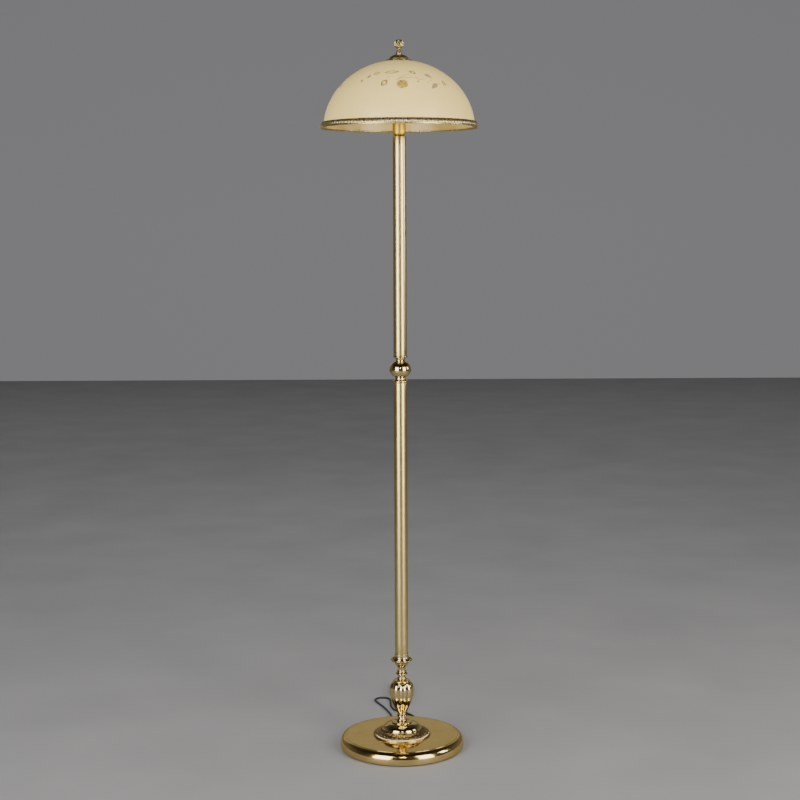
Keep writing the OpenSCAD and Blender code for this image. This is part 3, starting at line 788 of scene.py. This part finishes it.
def turned_spool():
    z = bottom("turned_spool")
    outline = ([(HOLE, z), (9.2, z)] + bead(9.2, z, 5, 1.8)
               + [(8.9, z + 5.6), (9, z + 9.5), (10.5, z + 11.5)] + bead(12, z + 12, 4.6, 2.7)
               + [(10.3, z + 17.2)] + bead(10, z + 17.6, 4.4, 1.8)
               + curve((9.6, z + 22.6), (9.8, z + 28), (11, z + 33), (14.5, z + 36)) + [(HOLE, z + 36)])
    turning("turned_spool", "spool_turning", outline)


def saucer():
    z = bottom("saucer")
    outline = ([(14.6, z)] + curve((14.8, z), (16.6, z + 2), (17.2, z + 6), (18.4, z + 8))
               + curve((18.4, z + 8), (22.5, z + 8.6), (25.6, z + 9.8), (26.3, z + 12.6))[1:]
               + arc((25.6, z + 13.4), 1.4, 1.2, -30, 170, 12)
               + curve((24, z + 12.8), (22.5, z + 10.8), (20, z + 10.4), (18.6, z + 11.4))
               + [(18.2, z + 15), (HOLE, z + 15), (HOLE, z)])
    turning("saucer", "saucer_turning", outline)


def foot_ring():
    z = bottom("foot_ring")
    r = radius_of("lower_tube")
    outline = ([(HOLE, z), (17.2, z)] + bead(17, z + 0.4, 6, 1.6) + [(17, z + 6.8)]
               + curve((17, z + 7), (17, z + 10), (r + 0.7, z + 12), (r + 0.7, z + 14)) + [(HOLE, z + 14)])
    turning("foot_ring", "foot_ring_turning", outline)


# ---------------------------------------------------------------- column

def column_tube(node, name):
    r = radius_of(node)
    low = bottom(node)
    high = top(node)
    heights = [low + (high - low) * k / 24 for k in range(25)]
    outline = [(r, z) for z in heights] + [(r - 1, z) for z in reversed(heights)]
    turning(node, name, outline, "tube_brass", ease=0.25)


def knot_lower_collar():
    z = bottom("knot_lower_collar")
    outline = ([(HOLE, z), (16.4, z)] + arc((16, z + 3.6), 1.9, 2.6, -80, 80, 12)
               + curve((15.4, z + 6.6), (13, z + 7.6), (12, z + 10), (12.2, z + 13.5)) + [(HOLE, z + 13.5)])
    turning("knot_lower_collar", "knot_lower_turning", outline)


def knot_ball():
    low = bottom("knot_ball")
    high = top("knot_ball")
    r = radius_of("knot_ball")
    middle = (low + high) / 2
    lean = 62
    outer = arc((0, middle), r, (high - low) / 2 / sin(radians(lean)), -lean, lean, 48)
    inner = arc((0, middle), r - 2, (high - low) / 2 - 2, 76, -76, 30)
    outline = [(HOLE, low), (11.8, low)] + outer + [(11.2, high), (HOLE, high)] + inner
    turning("knot_ball", "knot_ball_turning", outline, turns=192)


def knot_upper_collar():
    z = bottom("knot_upper_collar")
    outline = ([(HOLE, z), (10.8, z)] + curve((10.8, z + 0.5), (10.6, z + 5), (12, z + 8), (15, z + 9.6))
               + arc((15.2, z + 11.4), 2.3, 2.2, -80, 80, 12) + [(15.6, z + 14), (HOLE, z + 14)])
    turning("knot_upper_collar", "knot_upper_turning", outline)


def top_cup():
    z = bottom("top_cup")
    r = radius_of("top_cup")
    outer = (arc((8.5, z + 10), r - 8.5, 10, -85, 0, 18) + [(r, z + 22), (r, z + 36)]
             + arc((r - 4, z + 36), 4, 4, 10, 90, 10))
    inner = (arc((r - 5.4, z + 34), 4, 4, 90, 0, 8) + [(r - 1.4, z + 12)]
             + arc((8.5, z + 11.6), r - 9.9, 10, 0, -85, 14))
    outline = [(HOLE, z)] + outer + [(HOLE, z + 40), (HOLE, z + 38.4)] + inner + [(HOLE, z + 1.8)]
    # The cup's yellow is a painted reflection of the cream glass around it.
    turning("top_cup", "top_cup_shell", outline, "cup_brass_painted_reflection")


# ---------------------------------------------------------------- shade

GLASS_FOOT = bottom("glass_dome")
CROWN_Z = top("glass_dome")
GLASS_R = 179
GLASS_H = 161
GLASS_T = 4
GLASS_Z = CROWN_Z - GLASS_H * sqrt(1 - (24 / GLASS_R) ** 2)
STUD_HOLE = 4.06


def glass_dome():
    """A half ellipse of opal glass with its crown ground flat and its lower edge fire polished."""
    crown = degrees(acos(24 / GLASS_R))
    foot = degrees(asin((GLASS_FOOT - GLASS_Z) / GLASS_H))
    inner_h = GLASS_H - GLASS_T
    crown_in = degrees(asin((CROWN_Z - GLASS_T - GLASS_Z) / inner_h))
    foot_in = degrees(asin((GLASS_FOOT - GLASS_Z) / inner_h))
    outer = arc((0, GLASS_Z), GLASS_R, GLASS_H, foot, crown, 90)
    inner = arc((0, GLASS_Z), GLASS_R - GLASS_T, inner_h, crown_in, foot_in, 70)
    outline = outer + [(6, CROWN_Z), (6, CROWN_Z - GLASS_T)] + inner
    standing_in(turned("opal_dome", outline, "opal", "opal_glass", 288, ease=0.9), "glass_dome")


def band_relief(low, high):
    """Cast leaves that stand side by side round the rim, each with a midrib, over a beaded lower line."""
    def height(r, z, angle):
        along = (z - low) / (high - low)
        leaf = swing(angle, 120)
        half = 0.90 * sqrt(max(0, sin(pi * (0.12 + 0.80 * along))))
        side = abs(leaf) / half if half > 0.05 else 9
        body = max(0, 1 - side ** 2.2) * fade(along, 0.05, 0.2) * fade(along, 0.97, 0.85)
        midrib = 0.45 * max(0, 1 - side / 0.25) * body
        bead_shape = 1 - ((z - low - 1.6) / 1.1) ** 2 - (swing(angle, 240) / 0.95) ** 2
        return 1.6 * max(body - midrib, 0.55 * sqrt(max(0, bead_shape)))
    return height


def rim_band():
    """A cast gallery of leaves over a spun lip, painted brighter than the other brass as painted light,
    which carries the glass on its inner ledge.
    """
    r = radius_of("rim_band")
    z = bottom("rim_band")
    bore = GLASS_R + 0.1
    high = z + 15
    skin = dense(curve((bore + 0.6, high - 0.4), (bore + 3.6, high - 2.2), (r - 3.6, z + 7),
                       (r - 2.6, z + 3.4), 20), 0.55)
    behind = [(r - 4.4, z + 3.4), (bore + 1.4, high - 3), (bore, high - 3), (bore, high)]
    piece = turned("rim_casting", skin + behind, "gilt_band", "antique_brass", 1440,
                   band_relief(z + 3, high), skin[1:-1], sharp=None)
    lip = arc((r - 1.7, z + 1.7), 1.7, 1.7, 100, -130, 18)
    inner = curve((r - 3.2, z + 1), (r - 4.6, z + 2), (bore + 3.4, z + 2.6), (bore + 0.6, z + 2.2), 10)
    ledge = [(bore - 6.5, z + 2.2), (bore - 6.5, z + 3.2), (bore, z + 3.2), (bore, high - 3.4),
             (bore + 1.2, high - 3.4)]
    back = curve((bore + 1.6, high - 4), (bore + 3.4, high - 6), (r - 4.6, z + 6), (r - 3.8, z + 3.6), 10)
    turned("rim_lip", lip + inner + ledge + back, "lip_brass", "antique_brass", 288, ease=0.2)
    standing_in(piece, "rim_band")


def cap_relief(r, z, angle):
    """Petals round the cap's flange and a cord of small beads at the foot of its dome."""
    across = swing(angle, 48) * pi * r / 48
    bead_shape = 1 - ((r - 24.6) / 1.1) ** 2 - (across / 1.45) ** 2
    if bead_shape > 0:
        return 0.9 * sqrt(bead_shape)
    petal = leaf_height((33.4 - r) / 7.6, swing(angle, 16))
    between = 0.6 * leaf_height((33.8 - r) / 7.2, swing(angle, 16, tau / 32))
    return 1.3 * max(petal, between) - 0.2


def top_cap():
    z = bottom("top_cap") + 3.1
    dome = arc((0, z), 23.4, 13, 84, 6, 30)
    flange = dense([(23.8, z - 0.3), (26, z - 0.6), (29.5, z - 1.3), (32.3, z - 2.3)], 0.4)
    edge = [(32.8, z - 2.9), (32.4, z - 3.1)]
    under = [(24, z - 1.8), (20, z - 1.7), (19.4, z), (STUD_HOLE, z), (STUD_HOLE, z + 13)]
    piece = turned("top_cap_casting", dome + flange + edge + under, "satin_brass", BRASS_SLOT, 480,
                   cap_relief, flange[1:], sharp=50)
    standing_in(piece, "top_cap")


PETALS = 5


def finial_relief(low):
    """Five deep oval hollows with a bead in each, between the petals of a closed bud."""
    def height(r, z, angle):
        across = swing(angle, PETALS) * pi * r / PETALS
        up = (z - low - 22.8) / 6.4
        oval = up ** 2 + (across / (3.3 - 0.7 * up)) ** 2
        hollow = -2.4 * fade(oval, 1.2, 0.55)
        bead_shape = 1 - ((z - low - 22.2) / 2.2) ** 2 - (across / 1.9) ** 2
        ridge = 1.1 * max(0, 1 - ((oval - 1.55) / 0.65) ** 2)
        return hollow + ridge + 3.3 * sqrt(max(0, bead_shape))
    return height


def finial():
    """A nut: a conical skirt, a bead ring, a waist and the bud."""
    z = bottom("finial")
    foot = ([(STUD_HOLE, z), (7.6, z)] + arc((7.2, z + 0.8), 0.7, 0.8, -60, 70, 6)
            + curve((7.2, z + 1.8), (6.6, z + 4.6), (5.2, z + 7), (4.5, z + 9.6)))
    ring = bead(4.3, z + 9.9, 1.7, 0.7, 8)
    bud = dense(curve((4.3, z + 11.9), (4.6, z + 14.4), (9.8, z + 15.6), (9.9, z + 22.4), 16)
                + curve((9.9, z + 22.4), (9.9, z + 28.4), (5.6, z + 32.4), (0.02, z + 32.5), 22)[1:], 0.5)
    outline = foot + ring + bud + [(0, z + 32.5), (0, z + 7), (STUD_HOLE, z + 7)]
    piece = turned("finial_bud", outline, "satin_brass", BRASS_SLOT, 240, finial_relief(z), bud[2:-3],
                   body="finial_nut", sharp=50)
    standing_in(piece, "finial")


# ---------------------------------------------------------------- printed spray on the glass

def on_glass(azimuth, lift, across, up, out=0.0):
    """The point of the dome across and up from (azimuth, lift), all in mm, and out from its skin."""
    el = radians(lift)
    el += up / hypot(GLASS_R * sin(el), GLASS_H * cos(el))
    az = radians(azimuth) + across / (GLASS_R * cos(el))
    normal = Vector((cos(el) / GLASS_R, sin(el) / GLASS_H)).normalized()
    r = GLASS_R * cos(el) + out * normal.x
    return Vector((MM * r * sin(az), -MM * r * cos(az), MM * (GLASS_Z + GLASS_H * sin(el) + out * normal.y)))


PRINT_SINK = -0.25


def add_patch(grid, rows, place):
    """A thin closed plate whose upper side goes through rows of (across, up, height)."""
    upper = [[grid.verts.new(place(a, u, h)) for a, u, h in row] for row in rows]
    lower = [[grid.verts.new(place(a, u, PRINT_SINK)) for a, u, _ in row] for row in rows]
    tall, wide = len(rows), len(rows[0])
    for i in range(tall - 1):
        for k in range(wide - 1):
            grid.faces.new((upper[i][k], upper[i][k + 1], upper[i + 1][k + 1], upper[i + 1][k]))
            grid.faces.new((lower[i][k], lower[i + 1][k], lower[i + 1][k + 1], lower[i][k + 1]))
    border = [(0, k) for k in range(wide)] + [(i, wide - 1) for i in range(1, tall)]
    border += [(tall - 1, k) for k in range(wide - 2, -1, -1)] + [(i, 0) for i in range(tall - 2, 0, -1)]
    for (i, k), (m, n) in zip(border, border[1:] + border[:1]):
        grid.faces.new((upper[i][k], lower[i][k], lower[m][n], upper[m][n]))


def leaf_rows(length, width, heading, bend=0.0, centre=(0, 0), height=0.28, blunt=0.6):
    """Rows of a leaf from its root at centre; heading is in degrees from upright, clockwise."""
    rows = []
    for i in range(13):
        t = i / 12
        turn = radians(heading + bend * t)
        half = max(0.12, width / 2 * sin(pi * t ** blunt) ** 0.8)
        spine = (centre[0] + length * t * sin(turn), centre[1] + length * t * cos(turn))
        row = []
        for side in (-1, -0.6, -0.12, 0, 0.12, 0.6, 1):
            rise = height * (1 - side ** 2) + 0.06 if abs(side) > 0.05 else height * 0.35
            row.append((spine[0] + side * half * cos(turn), spine[1] - side * half * sin(turn), rise))
        rows.append(row)
    return rows


def ring_rows(length, width, heading, line, centre=(0, 0), height=0.24):
    """Two thin curved strips that together outline a leaf."""
    strips = []
    turn = radians(heading)
    for side in (-1, 1):
        rows = []
        for i in range(17):
            t = i / 16
            half = side * width / 2 * sin(pi * t)
            row = []
            for edge, rise in ((-0.5, 0.05), (0, height), (0.5, 0.05)):
                off = half + edge * line
                row.append((centre[0] + length * t * sin(turn) + off * cos(turn),
                            centre[1] + length * t * cos(turn) - off * sin(turn), rise))
            rows.append(row)
        strips.append(rows)
    return strips


def stem_rows(points, width):
    rows = []
    for i, (a, u) in enumerate(points):
        before = points[max(0, i - 1)]
        after = points[min(len(points) - 1, i + 1)]
        along = Vector((after[0] - before[0], after[1] - before[1])).normalized()
        half = width / 2 * (1 - 0.5 * i / (len(points) - 1))
        rows.append([(a - half * along.y, u + half * along.x, 0.04), (a, u, 0.22),
                     (a + half * along.y, u - half * along.x, 0.04)])
    return rows


def rose(centre, size):
    """An open rose: rings of cupped petals round a small heart; returns the petals and their drawn edges."""
    petals = []
    edges = []
    for count, reach, width, phase, height in ((5, 1.0, 0.56, 0, 0.30), (4, 0.62, 0.46, 25, 0.55),
                                               (3, 0.36, 0.30, 50, 0.80)):
        for k in range(count):
            heading = phase + 360 * k / count
            petals.append(leaf_rows(size * reach / 2, size * width, heading, 16, centre, height, 1.35))
            turn = radians(heading + 12)
            root = (centre[0] + size * reach * 0.24 * sin(turn), centre[1] + size * reach * 0.24 * cos(turn))
            edges += ring_rows(size * reach * 0.27, size * width * 0.95, heading + 12, 1.9, root,
                               height + 0.08)
    return petals, edges


def outlined_leaf(length, width, heading, centre, line=1.1):
    """A leaf drawn by its edge and its midrib."""
    turn = radians(heading)
    tip = (centre[0] + 0.85 * length * sin(turn), centre[1] + 0.85 * length * cos(turn))
    return ring_rows(length, width, heading, line, centre) + [stem_rows([centre, tip], 0.7)]


def spray_patches():
    """One spray about its own middle: gold pieces, drawn dark-gold lines and tinted leaves."""
    gold, drawn = rose((0, 0), 25)
    gold += [leaf_rows(9, 6, 28, 20, (-39, 6), 0.2), leaf_rows(8, 5, 40, 0, (-47, -2), 0.2)]
    drawn += outlined_leaf(22, 11, 38, (-48, -4), 2.4) + outlined_leaf(33, 9, 84, (-39, 40), 2.0)
    drawn += outlined_leaf(17, 8, 62, (-66, 34), 1.7) + outlined_leaf(18, 7, 128, (18, 46), 2.3)
    drawn += outlined_leaf(17, 7, 150, (103, 14), 1.8)
    drawn += [stem_rows(curve((-14, 12), (0, 26), (18, 16), (32, 24), 20), 1.1),
              stem_rows(curve((30, 22), (38, 14), (46, 12), (58, 22), 16), 0.9),
              stem_rows(curve((-8, 18), (4, 30), (16, 34), (22, 44), 16), 0.9),
              stem_rows(curve((102, 10), (106, 0), (112, -4), (118, 8), 14), 1.3)]
    tinted = [leaf_rows(5.5, 5, 100, 0, (34, 9), 0.3, 1.0), leaf_rows(21, 13, 212, 10, (84, 4), 0.2),
              leaf_rows(24, 8, 112, 14, (54, 34), 0.2), leaf_rows(15, 7, 70, -25, (-84, 24), 0.16),
              leaf_rows(9, 6, 20, 0, (-100, 10), 0.16)]
    tinted += [leaf_rows(4, 3.6, 0, 0, place, 0.2, 1.0) for place in ((62, 4), (92, 2), (70, 12), (-30, 22))]
    return gold, drawn, tinted


SPRAYS = 3
SPRAY_AZIMUTH = 3
SPRAY_LIFT = 35.5


def printed_sprays():
    gold, drawn, tinted = spray_patches()
    for name, patches, look in (("gilt_flowers", gold, "print"), ("gilt_lines", drawn, "line"),
                                ("tinted_leaves", tinted, "tint")):
        grid = bmesh.new()
        for k in range(SPRAYS):
            azimuth = SPRAY_AZIMUTH + 360 * k / SPRAYS
            for rows in patches:
                add_patch(grid, rows, lambda a, u, h: on_glass(azimuth, SPRAY_LIFT, a, u, h))
        from_bmesh(name, grid, look, sharp=None)


# ---------------------------------------------------------------- lampholders

HOLDER_TILT = radians(12)
HOLDER_Z = bottom("cluster_hub") + 14
HOLDER_START = 26


def holder_place(side):
    turn = Matrix.Rotation(0 if side > 0 else pi, 4, "Z")
    lift = Matrix.Translation((0, 0, MM * HOLDER_Z))
    return (turn @ lift @ Matrix.Rotation(-HOLDER_TILT, 4, "Y")
            @ Matrix.Translation((MM * HOLDER_START, 0, 0)) @ Matrix.Rotation(pi / 2, 4, "Y"))


def grip_relief(r, z, angle):
    return 0.5 * max(0, 1 - abs(swing(angle, 30)) / 0.55)


def lampholder(side, node):
    r = 19
    long = 42
    grip = dense([(r + 0.6, 30.8), (r + 0.6, 35.8)], 1.0)
    outline = ([(5.05, 0), (12, 0)] + curve((12, 0), (16, 1), (r, 4), (r, 10))[1:]
               + [(r, 18), (r - 0.5, 18.5), (r - 0.5, 19.3), (r, 19.8), (r, 30)] + grip
               + [(r - 0.6, 37), (r - 1.4, long), (14.2, long), (14.2, 12), (5.05, 12)])
    standing_in(turned(node + "_moulding", outline, "phenolic", "phenolic", 180, grip_relief, grip,
                       place=holder_place(side)), node)


# ---------------------------------------------------------------- gland, switch, tie and plug

def cord_gland():
    """A moulded strain relief: a flange each side of the wall and a ribbed taper over the cord."""
    edge = BASE_R / MM
    bore = 1000 * CORD_D / 2 + 0.1
    taper = []
    for k in range(6):
        start = 4 + 4.2 * k
        for step, inset in ((0, 0), (2.6, 0), (2.9, 0.9), (3.9, 0.9)):
            along = start + step
            taper.append((5.2 - 1.6 * (along - 3) / 29 - inset, edge + along))
    outline = [(bore, edge - 9), (5.4, edge - 9), (7, edge - 7.6), (7, edge - 4.6), (5.4, edge - 4.6),
               (5.4, edge + 0.2), (7, edge + 0.2), (7, edge + 2.2), (5.3, edge + 3)] + taper
    outline += [(3.7, edge + 29.6), (3.6, edge + 32), (bore, edge + 32)]
    place = (Matrix.Translation((0, 0, GLAND_Z)) @ Matrix.Rotation(GLAND_ANGLE, 4, "Z")
             @ Matrix.Rotation(pi / 2, 4, "Y"))
    piece = turned("strain_relief", outline, "rubber", "black_rubber", 64, place=place, ease=0.25)
    return standing_in(piece, "cord_gland")


def stack(name, rings, look, body=LAMP, loop=False, sharp=38):
    """A closed skin through equal rings of points, in metres, capped at its ends or joined in a loop."""
    grid = bmesh.new()
    made = [[grid.verts.new(point) for point in ring] for ring in rings]
    pairs = list(zip(made, made[1:] + ([made[0]] if loop else [])))
    for one, two in pairs:
        for k in range(len(one)):
            following = (k + 1) % len(one)
            grid.faces.new((one[k], one[following], two[following], two[k]))
    if not loop:
        grid.faces.new(made[0])
        grid.faces.new(made[-1])
    return from_bmesh(name, grid, look, body, sharp)


def rounded_ring(half_x, half_y, radius, height, centre):
    """A rectangle with round corners at a height, about (x, y), all in metres."""
    radius = min(radius, half_x, half_y)
    points = []
    for quarter in range(4):
        sx = 1 if quarter in (0, 3) else -1
        sy = 1 if quarter < 2 else -1
        for k in range(9):
            angle = pi / 2 * (quarter + k / 8)
            points.append(Vector((centre[0] + sx * (half_x - radius) + radius * cos(angle),
                                  centre[1] + sy * (half_y - radius) + radius * sin(angle), height)))
    return points


SWITCH_MIDDLE = (0, (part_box("switch_base")[0].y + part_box("switch_base")[1].y) / 2)
SWITCH_HALF = (0.012, 0.030)
SWITCH_H = 0.016
ROCKER_PIVOT = Vector((0, SWITCH_MIDDLE[1], 0.0125))
ROCKER_HALF = (0.0055, 0.010)
ROCKER_TILT = radians(7)


def switch_case():
    """Two halves of the inline switch with a shadow gap between them and a framed opening for the rocker."""
    def plan(inset, height):
        return rounded_ring(SWITCH_HALF[0] - inset, SWITCH_HALF[1] - inset, 0.006 - 0.5 * inset, height,
                            SWITCH_MIDDLE)

    lower = [plan(0.0016, 0), plan(0.0009, 0.0002), plan(0.0003, 0.0008), plan(0, 0.0018), plan(0, 0.0074),
             plan(0.0005, 0.0077), plan(0.0006, 0.0079), plan(0.0018, 0.0079), plan(0.0018, 0.0018)]
    base = stack("switch_lower_half", lower, "plastic")

    def opening(grow, height):
        return rounded_ring(ROCKER_HALF[0] + grow, ROCKER_HALF[1] + grow, 0.0012 + grow, height,
                            SWITCH_MIDDLE)

    upper = [plan(0.0006, 0.0080), plan(0.0005, 0.0083), plan(0, 0.0087), plan(0, 0.0128)]
    for k in range(1, 9):
        angle = pi / 2 * k / 8
        upper.append(plan(0.0026 * (1 - cos(angle)), 0.0128 + 0.0028 * sin(angle)))
    upper += [opening(0.0020, 0.0156), opening(0.0017, SWITCH_H), opening(0.0010, SWITCH_H),
              opening(0.0005, 0.0157), opening(0.0004, 0.0105), plan(0.0018, 0.0105), plan(0.0018, 0.0080)]
    cover = stack("switch_upper_half", upper, "plastic", loop=True)
    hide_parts("switch_base")
    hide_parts("switch_cover")
    return [base, cover]


def switch_rocker():
    """The rocker's side outline drawn across its width, its two pads slightly dished, tilted to its rest."""
    end = 1000 * ROCKER_HALF[1]
    side = [(-end, 0.4), (-end, 2.4)]
    for k in range(21):
        y = -end + 0.4 + (2 * end - 0.8) * k / 20
        dish = 0.35 * sin(pi * min(1, abs(y) / end)) ** 2
        side.append((y, 3.9 - 1.25 * abs(y) / end - dish))
    side += [(end, 2.4), (end, 0.4), (2.4, -2.4), (-2.4, -2.4)]
    half = 1000 * ROCKER_HALF[0]
    tilt = Matrix.Rotation(-ROCKER_TILT, 4, "X")
    rings = []
    for x, shrink in ((-half, 0.94), (-half + 0.12, 0.975), (-half + 0.4, 1), (half - 0.4, 1),
                      (half - 0.12, 0.975), (half, 0.94)):
        ring = []
        for y, z in side:
            point = Vector((MM * x, MM * y * shrink, MM * (0.6 + (z - 0.6) * shrink)))
            ring.append(ROCKER_PIVOT + tilt @ point)
        rings.append(ring)
    piece = stack("rocker_key", rings, "gloss", body="rocker")
    return standing_in(piece, "switch_rocker")


def hank_tie():
    """A strap round the hank with rounded corners and its end lapped over the top."""
    low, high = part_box("hank_tie")
    middle = (0, (low.z + high.z) / 2)
    half = (high.x, (high.z - low.z) / 2)
    wall = 0.001

    def loop_at(y, inset):
        flat = rounded_ring(half[0] - inset, half[1] - inset, 0.006 - inset, 0, middle)
        return [Vector((p.x, y, p.y)) for p in flat]

    soft = 0.0003
    rings = [loop_at(low.y, soft), loop_at(low.y + soft, 0), loop_at(high.y - soft, 0),
             loop_at(high.y, soft), loop_at(high.y, wall - soft), loop_at(high.y - soft, wall),
             loop_at(low.y + soft, wall), loop_at(low.y, wall - soft)]
    strap = stack("tie_strap", rings, "tie", loop=True)
    lap_middle = (-0.004, (low.y + high.y) / 2)
    lap_half = (0.011, (high.y - low.y) / 2)
    lap = [rounded_ring(lap_half[0] - inset, lap_half[1] - inset, 0.003, high.z + rise, lap_middle)
           for inset, rise in ((0, 0), (0, 0.0006), (0.0003, 0.0009))]
    end = stack("tie_lap", lap, "tie")
    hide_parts("hank_tie")
    return [strap, end]


PIN_OFFSET = 0.0095


def plug_section(y, half_w, half_h, power, count=56):
    """A superellipse across the plug at y."""
    points = []
    for k in range(count):
        angle = tau * k / count
        x = half_w * abs(cos(angle)) ** (2 / power) * (1 if cos(angle) >= 0 else -1)
        z = half_h * abs(sin(angle)) ** (2 / power) * (1 if sin(angle) >= 0 else -1)
        points.append(Vector((x, y, PLUG_Z + z)))
    return points


def plug():
    """A flat two-pin plug: a ribbed boot, a waist to hold it by and a wide front."""
    rear = PLUG_REAR
    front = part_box("plug_body")[0].y
    sections = []
    for k in range(25):
        t = k / 24
        rib = 0.0005 * (1 if k % 4 in (1, 2) else 0) if 2 < k < 22 else 0
        size = 0.0036 + 0.0018 * t - rib
        sections.append(plug_section(rear - 0.0005 * k, size, size, 2))
    for k in range(1, 29):
        t = k / 28
        half_w = 0.0054 + 0.0122 * (fade(t, 0.0, 0.34) * 0.30 + fade(t, 0.42, 0.80) * 0.70)
        half_h = 0.0054 + 0.0014 * fade(t, 0.05, 0.45)
        sections.append(plug_section(rear - 0.012 - 0.0352 * t, half_w, half_h, 2 + 2.4 * fade(t, 0, 0.5)))
    for inset, ahead in ((0.0002, 0.0003), (0.0006, 0.0006), (0.0012, 0.0008)):
        sections.append(plug_section(front + 0.0008 - ahead, 0.0176 - inset, 0.0068 - inset, 4.4))
    body = stack("plug_moulding", sections, "rubber", sharp=50)
    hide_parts("plug_body")
    pieces = [body]
    for side, name in ((-1, "plug_pin_left"), (1, "plug_pin_right")):
        outline = [(0.01, 0), (2.0, 0), (2.0, 9.4), (1.85, 9.6), (1.85, 17.4)]
        outline += arc((0, 17.4), 1.85, 1.6, 0, 88, 8) + [(0.01, 19)]
        place = Matrix.Translation((side * PIN_OFFSET, front, PLUG_Z)) @ Matrix.Rotation(pi / 2, 4, "X")
        pieces.append(turned(name, outline, "nickel", "nickel_pins", 40, place=place, ease=0.15))
        sleeve = [(2.0, 0), (2.08, 0), (2.08, 9.2), (2.0, 9.3)]
        pieces.append(turned(name + "_sleeve", sleeve, "plastic", "black_rubber", 40, place=place,
                             ease=0.03))
    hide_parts("plug_pins")
    return pieces


# ---------------------------------------------------------------- CAD nodes that are shown as they are

CARRIED = {
    "felt": ["felt_pad"],
    "iron": ["base_weight"],
    "steel": ["clamp_washer", "clamp_nut", "lower_rod", "foot_bush", "knot_lower_bush", "knot_nipple",
              "knot_upper_bush", "top_bush", "top_nipple", "arm_nipples", "shade_rod", "seat_nut",
              "switch_screws"],
    "brass": ["cluster_hub", "seat_disc", "finial_washer", "switch_contacts"],
    "rubber": ["seat_rubber", "cap_rubber"],
    "nickel": ["bulb_cap_left", "bulb_cap_right"],
    "bulb": ["bulb_glass_left", "bulb_glass_right"],
    "jacket": ["supply_cable"],
    "lead": ["lamp_leads"],
}


def dress_carried_nodes():
    for look, nodes in CARRIED.items():
        for node in nodes:
            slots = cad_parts[node].data.materials
            slots.clear()
            slots.append(LOOKS[look])


# ---------------------------------------------------------------- the scene

make_camera()
cord = mains_cord()
for make in (base_cover, base_rosette, rosette_dome, tier_collar, lower_neck, fluted_vase, vase_shoulder,
             turned_spool, saucer, foot_ring):
    make()
column_tube("lower_tube", "lower_tube_brass")
for make in (knot_lower_collar, knot_ball, knot_upper_collar):
    make()
column_tube("upper_tube", "upper_tube_brass")
for make in (top_cup, glass_dome, printed_sprays, rim_band, top_cap, finial):
    make()
for side, node in ((-1, "lampholder_left"), (1, "lampholder_right")):
    lampholder(side, node)
along_cord = [cord_gland()] + switch_case() + [switch_rocker()] + hank_tie() + plug()
dress_carried_nodes()
make_floor()
make_world()
for softbox in SOFTBOXES:
    make_softbox(*softbox)
make_overhead()
